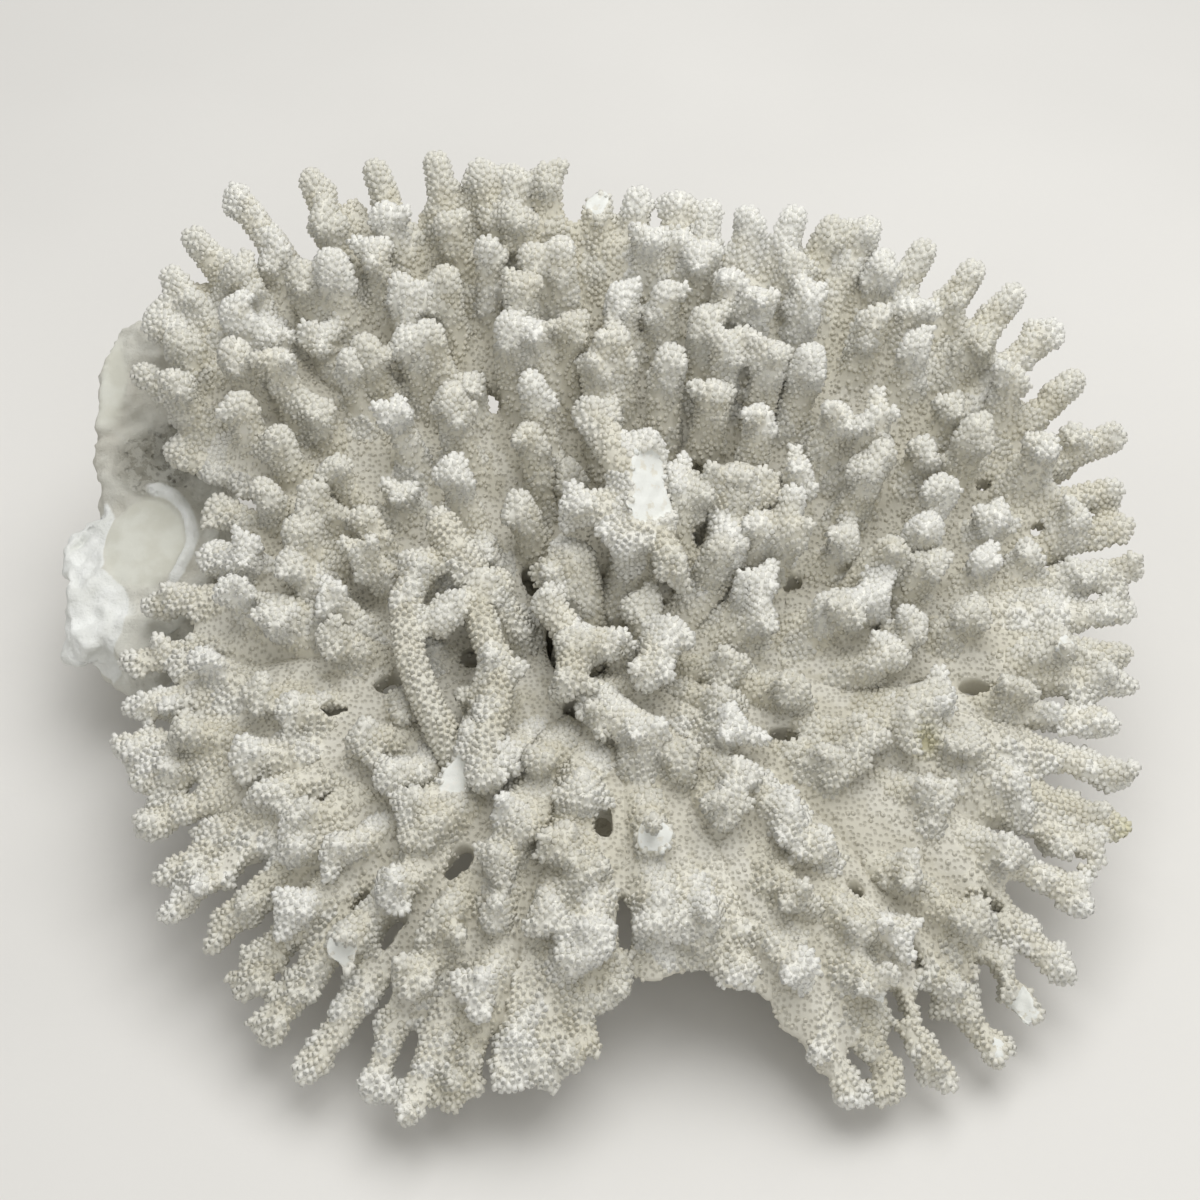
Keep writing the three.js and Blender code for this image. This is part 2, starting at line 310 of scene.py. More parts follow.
def add_lobes(skeleton, path, radius, count, draw, tint, low):
    """Short side lobes near the far end of a finger, each leaning the way the finger grows."""
    turned = draw.uniform(0, 2 * math.pi)
    for number in range(count):
        share = draw.uniform(low, LOBE_HIGH) * (len(path) - 1)
        index = min(int(share), len(path) - 2)
        start = path[index].lerp(path[index + 1], share - index)
        along = (path[index + 1] - path[index]).normalized()
        side = along.orthogonal().normalized()
        side.rotate(Quaternion(along, turned + LOBE_TURN * number + draw.uniform(-0.4, 0.4)))
        heading = (along * draw.uniform(0.4, 1.0) + side + Vector((0, 0, 0.3))).normalized()
        end = start + heading * ((radius + draw.uniform(*LOBE_LENGTH)) * MM)
        middle = start.lerp(end, 0.5) + side * MM
        skeleton.tube(bend_path(start, middle, end, 4), LOBE_RADIUS, LOBE_RADIUS,
                      (0.7, 1.0), (0.9, 1.0), tint)


def add_nubs(skeleton, path, radius, count, draw, tint):
    """Short knobs scattered along a finger, just proud of its side."""
    for _ in range(count):
        index = draw.randrange(1, len(path) - 1)
        along = (path[index + 1] - path[index]).normalized()
        side = along.orthogonal().normalized()
        side.rotate(Quaternion(along, draw.uniform(0, 2 * math.pi)))
        heading = (side + along * 0.8).normalized()
        end = path[index] + heading * ((radius + draw.uniform(*NUB_PROUD)) * MM)
        skeleton.tube([path[index], path[index].lerp(end, 0.5), end], NUB_RADIUS, NUB_RADIUS,
                      (0.5, 0.9), (0.9, 1.0), tint)


print("lobes are", LOBE_LENGTH[0], "to", LOBE_LENGTH[1], "mm long")

# %% [markdown]
# ## Fingers
# A finger leaves the table leaning outward and turns up towards its tip, and it is thickest
# at its foot. A straight cone would look turned on a lathe, so its path bends and wanders.

# %% Finger maker
FOOT_RADIUS = 6.9
TIP_RADIUS = 4.9
FINGER_STEPS = 7
FRONT_THIN = 0.07
FRONT_THIN_REACH = 60 * MM
LOBE_COUNTS = (1, 2, 3, 4, 4, 5)
LOBE_LOW = 0.66
NUB_COUNTS = (3, 4, 5)


def add_finger(skeleton, foot, tip, draw, size=1.0):
    """A bent finger from foot to tip, a little thinner at the front of the colony."""
    level = Vector((tip.x, tip.y, 0))
    outward = level.normalized() if level.length > 0.01 else Vector((0, 0, 0))
    middle = foot.lerp(tip, 0.5) + outward * (draw.uniform(0, 3) * MM)
    middle -= Vector((0, 0, 2 * MM))
    middle += Vector((draw.uniform(-3, 3), draw.uniform(-3, 3), 0)) * MM
    path = bend_path(foot, middle, tip, FINGER_STEPS)
    tint = draw.random()
    size *= 1 - FRONT_THIN + FRONT_THIN * clamp(tip.y / FRONT_THIN_REACH, -1.0, 1.0)
    thick = (FOOT_RADIUS * size * draw.uniform(0.95, 1.15),
             TIP_RADIUS * size * draw.uniform(0.85, 1.15))
    skeleton.tube(path, thick, thick, (0.1, 1.0), (0.4, 1.0), tint)
    add_lobes(skeleton, path, TIP_RADIUS * size * 0.6, draw.choice(LOBE_COUNTS), draw, tint,
              LOBE_LOW)
    add_nubs(skeleton, path, TIP_RADIUS * size, draw.choice(NUB_COUNTS), draw, tint)


print("finger radius:", FOOT_RADIUS, "to", TIP_RADIUS, "mm")

# %% [markdown]
# ## Stems and webs
# A limb's stems fan out from the trunk to their rim fingers. Thinner webs lie between them
# and stop short of the rim, so the stems part there and leave the long holes that such a
# table has. A slow wobble keeps them from looking ruled, and spurs fray the rim.

# %% Stem maker
STEM_START = 22.0
STEM_STEPS = 18
BACK_SINK = 5.0
STEM_WIDE = (9.5, 6.4)
STEM_TALL = (7.0, 5.0)
OUTER_WIDE = 5.8
OUTER_TALL = 5.2
OUTER_POINT = (3.9, 0.8)
OUTER_LOBES = (2, 3, 3, 4)
SPUR_COUNTS = (4, 5, 6)
SPUR_ROOTS = (-6, -5, -4, -3, -2)
SPUR_LENGTH = (8, 15)
SPUR_WIDE = (3.3, 1.9)
SPUR_TALL = (3.1, 1.8)
WEB_WIDE = (8.5, 4.4)
WEB_TALL = (5.5, 2.8)


def stem_path(azimuth, reach, lift, sway, draw):
    """A line over the table from the trunk to the rim, with a slow wobble."""
    swing, roll = draw.uniform(0, 2 * math.pi), draw.uniform(0, 2 * math.pi)
    heave = draw.uniform(0.8, 2.4)
    path = []
    sunk = BACK_SINK * max(0.0, math.sin(azimuth * DEGREE))
    for step in range(STEM_STEPS):
        share = step / (STEM_STEPS - 1)
        turned = azimuth + sway * math.sin(7.5 * share + swing) * math.sin(math.pi * share)
        rise = lift * share ** 4 + heave * math.sin(9.4 * share + roll) * share
        rise -= sunk * math.sin(math.pi * share)
        path.append(place(turned, STEM_START + (reach - STEM_START) * share, rise))
    return path


def add_stem(table, skeleton, rim, draw):
    """A stem under the table, its bare outer end past the rim, and the spurs on that end."""
    azimuth, reach, lift = rim
    path = stem_path(azimuth, reach - 3, lift, 1.5, draw)
    tint = draw.random()
    inner = path[:-3]
    table.tube(inner, STEM_WIDE, STEM_TALL, (0.0, 0.15), (0.03, 0.25), tint)
    outer = path[-5:]
    point = by_azimuth(*OUTER_POINT, azimuth)
    skeleton.tube(outer, (OUTER_WIDE, point), (OUTER_TALL, point), (0.25, 1.0), (0.5, 1.0),
                  tint)
    add_lobes(skeleton, outer, 2.0, draw.choice(OUTER_LOBES), draw, tint, 0.3)
    add_nubs(skeleton, outer, 4.0, 4, draw, tint)
    for _ in range(draw.choice(SPUR_COUNTS)):
        index = draw.choice(SPUR_ROOTS)
        along = (path[-1] - path[-4]).normalized()
        side = Vector((-along.y, along.x, 0)) * draw.choice((-1, 1))
        heading = (along + side * draw.uniform(0.35, 1.0)).normalized()
        end = path[index] + heading * (draw.uniform(*SPUR_LENGTH) * MM)
        skeleton.tube(bend_path(path[index], path[index].lerp(end, 0.5) + side * MM, end, 4),
                      SPUR_WIDE, SPUR_TALL, (0.4, 1.0), (0.6, 1.0), tint)


def add_web(table, azimuth, reach):
    """A web is drawn from its azimuth alone, so the two limbs that share one draw it alike."""
    draw = random.Random(round(azimuth * 10) % 3600)
    back = max(0.0, math.sin(azimuth * DEGREE))
    full = draw.uniform(0.76, 0.9) + 0.12 * back
    path = stem_path(azimuth, reach * full, 20 * back - 1, 1.0, draw)
    table.tube(path, WEB_WIDE, WEB_TALL, (0.0, 0.3 * back + 0.1), (0.03, 0.7 * back + 0.1),
               draw.random())


print("stem steps:", STEM_STEPS)

# %% [markdown]
# ## Lesser fingers
# Between the chosen fingers stand smaller ones. A grid of them would show. Throwing darts at
# the table and keeping only those that land clear of every finger so far fills the gaps
# evenly, with no grid to be seen. The front, where the table is barer, gets fewer.

# %% Places for the lesser fingers
CLEARANCE = 16.5
FRONT_SPREAD = 1.35
BACK_MARGIN = 8
FRONT_MARGIN = 18
DARTS = 5000
DART_RANGE = (50, 190)
LESSER_SIZE = (0.5, 0.95)


def rim_reach(azimuth):
    """How far the table reaches at an azimuth, from the nearest rim finger."""
    best = min((abs((rim[0] - azimuth + 180) % 360 - 180), rim[1])
               for limb in LIMBS.values() for rim in limb[2])
    return best[1]


def scatter_fingers():
    """Azimuth, distance and size of each lesser finger."""
    draw = random.Random(11)
    taken = [place(a, d).xy for limb in LIMBS.values() for a, d in limb[3]]
    taken += [place(a, d).xy for limb in LIMBS.values() for a, d, _ in limb[2]]
    lesser = []
    for _ in range(DARTS):
        azimuth = draw.uniform(0, 360)
        distance = math.sqrt(draw.uniform(DART_RANGE[0] ** 2, DART_RANGE[1] ** 2))
        back = math.sin(azimuth * DEGREE)
        if distance > rim_reach(azimuth) - (BACK_MARGIN if back > 0.3 else FRONT_MARGIN):
            continue
        wanted = CLEARANCE * (1.0 if back > 0.1 else FRONT_SPREAD)
        spot = place(azimuth, distance).xy
        if all((spot - other).length > wanted * MM for other in taken):
            taken.append(spot)
            lesser.append((azimuth, distance, draw.uniform(*LESSER_SIZE)))
    return lesser


LESSER = scatter_fingers()
print(len(LESSER), "lesser fingers")

# %% [markdown]
# ## Holes
# Holes show through the table where neighbouring stems never met. Leaving a gap between two
# tubes gives no control over its shape, so each hole is a stretched ball instead, roughened by
# noise and taken out of the limbs by a Boolean. Each entry is azimuth, distance, length and
# width.

# %% Hole cutters
HOLES = [
    (194, 156, 9, 7), (199, 105, 14, 6), (219, 70, 13, 7), (228, 61, 7, 9), (210, 98, 12, 5),
    (214, 124, 22, 7), (215, 151, 16, 9), (215, 170, 22, 8), (236, 133, 14, 6), (230, 132, 8, 4),
    (240, 104, 13, 7), (267, 78, 13, 8), (264, 96, 8, 5), (260, 105, 11, 5), (272, 111, 20, 6),
    (286, 115, 5, 4), (233, 153, 9, 5), (227, 157, 8, 4), (248, 35, 9, 7), (144, 35, 17, 10),
    (196, 80, 18, 8), (192, 51, 10, 8), (170, 81, 13, 9), (338, 61, 8, 7), (324, 75, 14, 8),
    (335, 43, 12, 8), (0, 102, 10, 5), (348, 113, 10, 5), (350, 133, 13, 6), (351, 156, 26, 5),
    (346, 158, 22, 5), (333, 179, 18, 7), (332, 154, 13, 5), (323, 160, 20, 4), (311, 150, 17, 5),
    (310, 128, 6, 4), (306, 161, 11, 6), (308, 172, 9, 6), (317, 174, 14, 5), (20, 120, 7, 6),
    (21, 150, 9, 5), (13, 163, 10, 7), (12, 187, 12, 5), (28, 188, 9, 5), (32, 63, 12, 6),
    (15, 68, 9, 6), (118, 100, 12, 7), (62, 66, 10, 7),
]
HOLE_MARGIN = 0.6
HOLE_HALF_HEIGHT = 13.0
HOLE_GRAIN = 160
HOLE_ROUGH = 2.4
# noise_vector draws its offsets from the clock unless it is given a seed
HOLE_SEED = 11


def link(name, mesh):
    piece = bpy.data.objects.new(name, mesh)
    bpy.context.scene.collection.objects.link(piece)
    return piece


def build_cutters():
    """All the holes as one mesh of stretched, roughened balls."""
    noise.seed_set(HOLE_SEED)
    mesh = bmesh.new()
    for azimuth, distance, length, width in HOLES:
        size = Matrix.Diagonal((length / 2 + HOLE_MARGIN, width / 2 + HOLE_MARGIN,
                                HOLE_HALF_HEIGHT, 1))
        turn = Matrix.Rotation(azimuth * DEGREE, 4, "Z")
        spot = Matrix.Translation(place(azimuth, distance, -1))
        scale = Matrix.Diagonal((MM, MM, MM, 1))
        made = bmesh.ops.create_icosphere(mesh, subdivisions=3, radius=1,
                                          matrix=spot @ turn @ scale @ size)
        for vertex in made["verts"]:
            vertex.co += noise.noise_vector(vertex.co * HOLE_GRAIN) * HOLE_ROUGH * MM
    data = bpy.data.meshes.new("hole_cutters")
    mesh.to_mesh(data)
    mesh.free()
    return link("hole_cutters", data)


cutters = build_cutters()
print(len(HOLES), "holes")

# %% [markdown]
# ## From tubes to one skin
# Joined tubes still cross inside each other. A voxel Remesh modifier wraps them in one
# closed skin. Living coral fills its crotches with rounded webs, so the tubes were drawn too
# thick: once wrapped, Displace draws the skin back in, and what had closed up stays closed.
# A boolean union would keep every hard crossing, so it would look assembled.

# %% Skin maker
VOXEL = 1.6 * MM
TABLE_FATTEN = 3.0
FINGER_FATTEN = 0.7


def plain_mesh(piece):
    """Takes the evaluated object back as a plain mesh, with the modifiers gone."""
    graph = bpy.context.evaluated_depsgraph_get()
    mesh = bpy.data.meshes.new_from_object(piece.evaluated_get(graph), depsgraph=graph)
    mesh.name = piece.name
    piece.modifiers.clear()
    piece.data = mesh
    return piece


def add_remesh(piece, voxel):
    remesh = piece.modifiers.new("wrap", "REMESH")
    remesh.mode = "VOXEL"
    remesh.voxel_size = voxel


def draw_in(piece, depth):
    """Wraps a piece that was drawn too thick by depth, and pulls its skin back in."""
    add_remesh(piece, VOXEL)
    pull = piece.modifiers.new("draw_in", "DISPLACE")
    pull.strength = -depth * MM
    pull.mid_level = 0


def piece_of(skeleton, name):
    mesh = bpy.data.meshes.new(name)
    mesh.from_pydata([tuple(point) for point in skeleton.points], [], skeleton.faces)
    return link(name, mesh)


def wrap(name, table, fingers, holes=None):
    """One skin over the table's tubes, closed up first, and the fingers' tubes."""
    base = piece_of(table, name + "_table")
    draw_in(base, TABLE_FATTEN - FINGER_FATTEN)
    plain_mesh(base)
    piece = piece_of(fingers, name)
    both = bmesh.new()
    both.from_mesh(base.data)
    both.from_mesh(piece.data)
    both.to_mesh(piece.data)
    both.free()
    bpy.data.objects.remove(base)
    draw_in(piece, FINGER_FATTEN)
    if holes:
        add_remesh(piece, VOXEL)
        cut = piece.modifiers.new("holes", "BOOLEAN")
        cut.operation = "DIFFERENCE"
        cut.object = holes
        cut.solver = "EXACT"
    add_remesh(piece, VOXEL)
    smooth = piece.modifiers.new("soften", "SMOOTH")
    smooth.factor = 0.5
    smooth.iterations = 2
    return plain_mesh(piece)


print("voxel:", VOXEL / MM, "mm")

# %% [markdown]
# ## Painting the skin
# The Remesh forgets which tube each part of the skin came from. Weights could be transferred
# by a modifier, but the tubes kept samples of their axes, so each vertex takes the values of
# the nearest one: growth direction, tip, cup and tint. A few fingers have a yellow-green stain.

# %% Paint
# azimuth, distance and reach of each stain, a finger's height over the table
STAINS = ((338, 194, 11), (336, 118, 9))
STAIN_LIFT = 12


def stain_at(spot):
    """How stained the skin is at a spot, fading to nothing at each stain's reach."""
    share = 0.0
    for azimuth, distance, reach in STAINS:
        away = (spot - place(azimuth, distance, STAIN_LIFT)).length
        share = max(share, 1 - away / (reach * MM))
    return share


def paint(piece, samples):
    """Gives each vertex its nearest sample's growth direction, tip, cup and tint, and stains."""
    tree = kdtree.KDTree(len(samples))
    for index, sample in enumerate(samples):
        tree.insert(sample[0], index)
    tree.balance()
    mesh = piece.data
    rows = [samples[tree.find(vertex.co)[1]] for vertex in mesh.vertices]
    growth = mesh.attributes.new("growth", "FLOAT_VECTOR", "POINT")
    growth.data.foreach_set("vector", np.array([tuple(row[1]) for row in rows], "f").ravel())
    for column, label in ((2, "tip"), (3, "cup"), (4, "tint")):
        layer = mesh.attributes.new(label, "FLOAT", "POINT")
        layer.data.foreach_set("value", np.array([row[column] for row in rows], "f"))
    mesh.attributes.new("fresh", "FLOAT", "POINT")
    stained = [stain_at(vertex.co) for vertex in mesh.vertices]
    layer = mesh.attributes.new("stain", "FLOAT", "POINT")
    layer.data.foreach_set("value", np.array(stained, "f"))


print("stains:", len(STAINS))

# %% [markdown]
# ## Broken faces
# Some tips and one crown branch are snapped off, and the break shows the dense white
# skeleton inside. Cutting with a plane would leave an open mesh or a razor edge. Pushing the
# vertices that stand beyond the plane back onto it keeps the skin closed, and the same pass
# marks the face as fresh and free of cups.

# %% Snapping
BREAK_DEPTH = 0.4
BREAK_GRAIN = 300
BREAK_ROUGH = 0.7


def snap(piece, centre, normal, reach):
    """Flattens what stands beyond a plane near centre, and marks it as a fresh break."""
    mesh = piece.data
    normal = Vector(normal).normalized()
    marks, cups = mesh.attributes["fresh"].data, mesh.attributes["cup"].data
    moved = 0
    for vertex in mesh.vertices:
        offset = vertex.co - centre
        if offset.length > reach * MM:
            continue
        beyond = offset.dot(normal)
        if beyond > -BREAK_DEPTH * MM:
            rough = noise.noise(vertex.co * BREAK_GRAIN) * BREAK_ROUGH * MM
            vertex.co -= normal * (max(beyond, 0) - rough)
            marks[vertex.index].value = 1
            cups[vertex.index].value = 0
            moved += 1
    return moved


print("a break is rough to", BREAK_ROUGH, "mm")

# %% [markdown]
# ## Linked branches
# Left of the middle thin branches have grown across and joined in rings, like lace. No rule
# would draw these, so each is a line through points given one by one (azimuth, distance, lift
# over the table), with its radius at the start and end.

# %% Linked branches
LINKS = {
    "limb_09": [([(158, 68, 28), (168, 54, 24), (180, 42, 18), (185, 34, 6)], (6.2, 7.6))],
    "limb_10": [
        ([(160, 57, 20), (172, 67, 25), (184, 73, 26), (199, 75, 25), (212, 76, 20),
          (226, 78, 8)], (5.0, 5.4)),
        ([(195, 66, 26), (189, 57, 26), (182, 48, 25), (173, 41, 24)], (4.6, 5.4)),
    ],
    "limb_11": [([(184, 48, 25), (201, 48, 26), (215, 49, 23), (226, 59, 19), (233, 73, 17),
                  (237, 80, 15)], (5.2, 5.8))],
    "limb_12": [([(222, 60, 2), (226, 66, 12), (231, 73, 17)], (7.0, 5.6))],
}


def add_links(skeleton, name, draw):
    """The linked branches that belong to a limb, knobbly all along."""
    for points, radii in LINKS.get(name, []):
        path = smooth_path([place(*point) for point in points])
        skeleton.tube(path, radii, radii, (0.6, 0.8), (1.0, 1.0), draw.random())
        add_lobes(skeleton, path, 2.5, 6, draw, 0.5, 0.05)
        add_nubs(skeleton, path, 4.5, 8, draw, 0.5)


print(sum(len(lines) for lines in LINKS.values()), "linked branches")

# %% [markdown]
# ## Growing the limbs
# A limb takes its stems and webs, its chosen fingers, the lesser ones that fall in its wedge,
# and its links. All are gathered as tubes and then wrapped together.
# One skin for the whole colony would have no seams, but it would be too large a piece. Fingers
# stand taller and steeper at the back than at the front, so their lean and rise are given as a
# level and a change. At the front a notch is broken out, and stems end bare along its edges.

# %% Build the limbs
EDGES = {
    # azimuth and distance of the bare stems along the front notch
    "limb_14": [(273, 112), (271, 130)],
    "limb_15": [(272, 124), (276, 128), (280, 126), (287, 134), (292, 142)],
    "limb_16": [(293, 152), (295, 166)],
}
EDGE_WIDE = (9.0, 5.0)
EDGE_TALL = (5.5, 2.6)
CHOSEN_LEAN = (22, -7)
CHOSEN_RISE = (26, 7)
CHOSEN_FOOT = (-2, -2)
FOOT_LIMIT = 24
ROOTED = 0.35
LESSER_LEAN = (16, -4)
LESSER_RISE = (20, 4)


def nearest_stem(azimuth, rims):
    return min((rim[0] for rim in rims), key=lambda other: abs(other - azimuth))


def add_chosen_finger(skeleton, azimuth, distance, rims, draw):
    """A chosen finger: its tip stands where it was listed, and its foot leans to a stem."""
    reach = by_azimuth(*CHOSEN_LEAN, azimuth) * draw.uniform(0.9, 1.15)
    rise = by_azimuth(*CHOSEN_RISE, azimuth) * draw.uniform(0.9, 1.08)
    rooted = azimuth + (nearest_stem(azimuth, rims) - azimuth) * ROOTED
    foot = place(rooted, max(distance - reach, FOOT_LIMIT), by_azimuth(*CHOSEN_FOOT, azimuth))
    tip = place(azimuth, distance - 2, rise - 4)
    add_finger(skeleton, foot, tip, draw)


def build_limb(name):
    first, last, rims, fingers = LIMBS[name]
    draw = random.Random(name)
    table, skeleton = Skeleton(TABLE_FATTEN), Skeleton(FINGER_FATTEN)
    for rim in rims:
        add_stem(table, skeleton, rim, draw)
    for border in (first, last):
        add_web(table, border, min(rim_reach(border - 2), rim_reach(border + 2)))
    for before, after in zip(rims, rims[1:]):
        add_web(table, (before[0] + after[0]) / 2, min(before[1], after[1]))
    for azimuth, reach in EDGES.get(name, []):
        path = stem_path(azimuth, reach, 0, 0.5, draw)
        table.tube(path, EDGE_WIDE, EDGE_TALL, (0.0, 0.1), (0.25, 0.3))
    for azimuth, distance in fingers:
        add_chosen_finger(skeleton, azimuth, distance, rims, draw)
    for azimuth, distance, size in LESSER:
        turned = azimuth + 360 if azimuth + 360 <= last else azimuth
        if first <= turned < last:
            reach = by_azimuth(*LESSER_LEAN, azimuth) * size
            foot = place(azimuth, distance - reach, -1)
            tip = place(azimuth, distance, by_azimuth(*LESSER_RISE, azimuth) * size)
            add_finger(skeleton, foot, tip, draw, size=0.65 + 0.3 * size)
    add_links(skeleton, name, draw)
    piece = wrap(name + "_coral", table, skeleton, cutters)
    paint(piece, table.samples + skeleton.samples)
    return piece


limbs = {name: build_limb(name) for name in LIMBS}
bpy.data.objects.remove(cutters)
print("limb faces:", sum(len(piece.data.polygons) for piece in limbs.values()))

# %% [markdown]
# ## Crown
# Four short branches stand on the trunk in the middle of the table. The tallest, at the
# back, is forked and broken: a flat white face runs down its right side. They are made as the
# limbs are, from tubes wrapped in one skin, but their forks are all given point by point.

# %% Crown
CROWN_FOOT = (11.5, 9.0)
CROWN = {
    # node: foot, then each branch as points (azimuth, distance, lift) and its two radii
    "crown_back": ((80, 12), [
        ([(75, 14, 0), (64, 24, 26), (62, 29, 37)], (9.5, 9.0)),
        ([(64, 28, 34), (88, 42, 40), (99, 57, 41)], (8.5, 4.6)),
        ([(66, 27, 33), (100, 26, 38), (121, 28, 40)], (7.0, 4.4)),
        ([(70, 22, 26), (72, 34, 36), (76, 46, 37)], (10.0, 7.6)),
        ([(62, 26, 32), (66, 20, 38), (70, 13, 39)], (7.0, 5.0)),
        ([(58, 27, 32), (30, 22, 37), (5, 22, 37)], (6.5, 4.2)),
    ]),
    "crown_right": ((12, 14), [
        ([(10, 22, 0), (22, 40, 16), (26, 48, 26)], (8.0, 6.6)),
        ([(26, 44, 12), (34, 53, 20), (41, 61, 27)], (8.5, 7.0)),
        ([(38, 56, 24), (46, 55, 26)], (6.5, 5.0)),
        ([(38, 58, 24), (34, 67, 26)], (6.5, 5.0)),
        ([(30, 34, 6), (47, 36, 22), (50, 46, 31)], (5.6, 4.4)),
        ([(47, 38, 22), (60, 46, 30)], (4.6, 4.2)),
    ]),
    "crown_front": ((300, 13), [
        ([(315, 14, 2), (335, 16, 18), (350, 9, 25)], (7.6, 5.6)),
        ([(330, 18, 14), (308, 27, 24), (290, 34, 22)], (6.6, 5.0)),
        ([(325, 18, 14), (325, 26, 25)], (6.0, 5.4)),
        ([(280, 20, 2), (264, 30, 10), (259, 38, 17)], (7.0, 5.2)),
        ([(262, 30, 8), (268, 42, 14), (284, 54, 15)], (7.4, 6.4)),
    ]),
    "crown_left": ((190, 13), [
        ([(215, 14, 0), (232, 20, 20), (240, 26, 25)], (8.0, 6.4)),
        ([(235, 20, 18), (205, 20, 25), (187, 24, 27)], (6.4, 4.6)),
        ([(238, 22, 20), (244, 32, 25), (247, 41, 23)], (6.2, 4.0)),
        ([(240, 20, 20), (258, 18, 25), (267, 19, 26)], (5.8, 4.4)),
        ([(170, 10, 0), (140, 16, 16), (132, 22, 23)], (9.5, 8.0)),
        ([(150, 16, 14), (150, 26, 22)], (7.0, 5.6)),
    ]),
}


def build_crown(name):
    (azimuth, distance), branches = CROWN[name]
    draw = random.Random(name)
    table, skeleton = Skeleton(TABLE_FATTEN), Skeleton(FINGER_FATTEN)
    foot, head = place(azimuth, distance, -10), place(azimuth, distance, 6)
    table.tube([foot, foot.lerp(head, 0.5), head], CROWN_FOOT, CROWN_FOOT, (0.0, 0.1),
               (0.3, 0.4))
    for points, radii in branches:
        path = smooth_path([place(*point) for point in points])
        tint = draw.random()
        skeleton.tube(path, radii, radii, (0.2, 1.0), (0.7, 1.0), tint)
        add_lobes(skeleton, path, radii[1] * 0.6, draw.choice((2, 3, 3)), draw, tint, 0.6)
        add_nubs(skeleton, path, radii[1], 4, draw, tint)
    piece = wrap(name + "_coral", table, skeleton)
    paint(piece, table.samples + skeleton.samples)
    return piece


crown = {name: build_crown(name) for name in CROWN}
print("crown faces:", sum(len(piece.data.polygons) for piece in crown.values()))

# %% [markdown]
# ## The broken tips
# Now the skins exist, the breaks are made on them: the crown's large white face first, then
# eleven tips. Each names its piece, where the face lies, which way it faces and how far it
# reaches, because a real break follows no rule.

# %% Snap the broken tips
UPWARD = (0, -0.55, 0.85)
BREAKS = (
    # piece, azimuth, distance, lift of the face, the way it faces, reach
    (crown["crown_back"], 68, 32, 42, (0.55, -0.4, 0.7), 14),
    (limbs["limb_05"], 76, 54, 22, (0.2, -0.6, 0.8), 9),
    (limbs["limb_03"], 32, 117, 20, UPWARD, 9),
    (limbs["limb_05"], 92, 148, 23, (-0.3, -0.1, 0.95), 13),
    (limbs["limb_12"], 233, 153, 14, UPWARD, 8),
    (limbs["limb_01"], 355, 164, 19, (0.5, -0.2, 0.8), 8),
    (limbs["limb_15"], 278, 91, 14, UPWARD, 8),
    (limbs["limb_12"], 230, 85, 14, UPWARD, 7),
    (limbs["limb_16"], 296, 180, 4, (0, -0.9, 0.5), 9),
    (limbs["limb_16"], 304, 162, 10, (0.3, -0.6, 0.7), 9),
    (limbs["limb_17"], 318, 192, 5, (-0.5, -0.5, 0.8), 9),
    (limbs["limb_16"], 312, 194, 4, (0.4, -0.3, 0.8), 7),
)
for piece, azimuth, distance, lift, facing, reach in BREAKS:
    count = snap(piece, place(azimuth, distance, lift), facing, reach)
    print(piece.name, "snapped vertices:", count)

# %% [markdown]
# ## Trunk
# Under the table everything runs together into one knobbly trunk that was sawn off flat. A
# sculpted cylinder would do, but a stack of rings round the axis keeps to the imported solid:
# foot, waist and head. The rings are then pushed in and out by smooth noise, all but the face.
# The head flares into the undersides of the limbs, and its top is dished so that the holes
# of the table stay deep.

# %% Trunk
TRUNK_SIDES = 160
TRUNK_RINGS = 60
TRUNK_PROFILE = ((0.0, 55.0), (11.0, 51.0), (24.0, 46.5), (40.0, 48.5), (52.0, 52.0))
HEAD_DEPTH = 3.5
HEAD_FLARE = 6.0
FLARE_POWER = 8
HUB_DEPTH = 16.0
THREE_SIDED = 0.045
FIVE_SIDED = 0.035
COARSE_LUMP = (3.1, 2.6)
FINE_LUMP = (9, 1.1)


def trunk_radius(height):
    """Radius of the trunk in millimetres at a height, from its profile."""
    heights, radii = zip(*TRUNK_PROFILE)
    return float(np.interp(height, heights, radii))


def trunk_point(side, share):
    """A point of the trunk's flank, share of the way up to the underside of the table."""
    azimuth = 360 * side / TRUNK_SIDES
    turn = azimuth * DEGREE
    sunk = BACK_SINK * max(0.0, math.sin(turn))
    top = table_height(azimuth, TRUNK_PROFILE[-1][1] + HEAD_FLARE) - HEAD_DEPTH - sunk
    height = top * share
    bulge = 1 + THREE_SIDED * math.sin(3 * turn + 1) + FIVE_SIDED * math.sin(5 * turn)
    spot = Vector((math.cos(turn), math.sin(turn), height / 30))
    lump = (noise.noise(spot * COARSE_LUMP[0]) * COARSE_LUMP[1]
            + noise.noise(spot * FINE_LUMP[0]) * FINE_LUMP[1])
    fade = min(1.0, share * 12)
    flare = HEAD_FLARE * share ** FLARE_POWER
    radius = trunk_radius(height) * bulge + lump * fade + flare
    return radius * math.cos(turn) * MM, radius * math.sin(turn) * MM, height * MM


def add_flank(mesh, rings):
    """Faces between neighbouring rings of vertices."""
    for lower, upper in zip(rings, rings[1:]):
        for side in range(len(lower)):
            after = (side + 1) % len(lower)
            mesh.faces.new((lower[side], lower[after], upper[after], upper[side]))


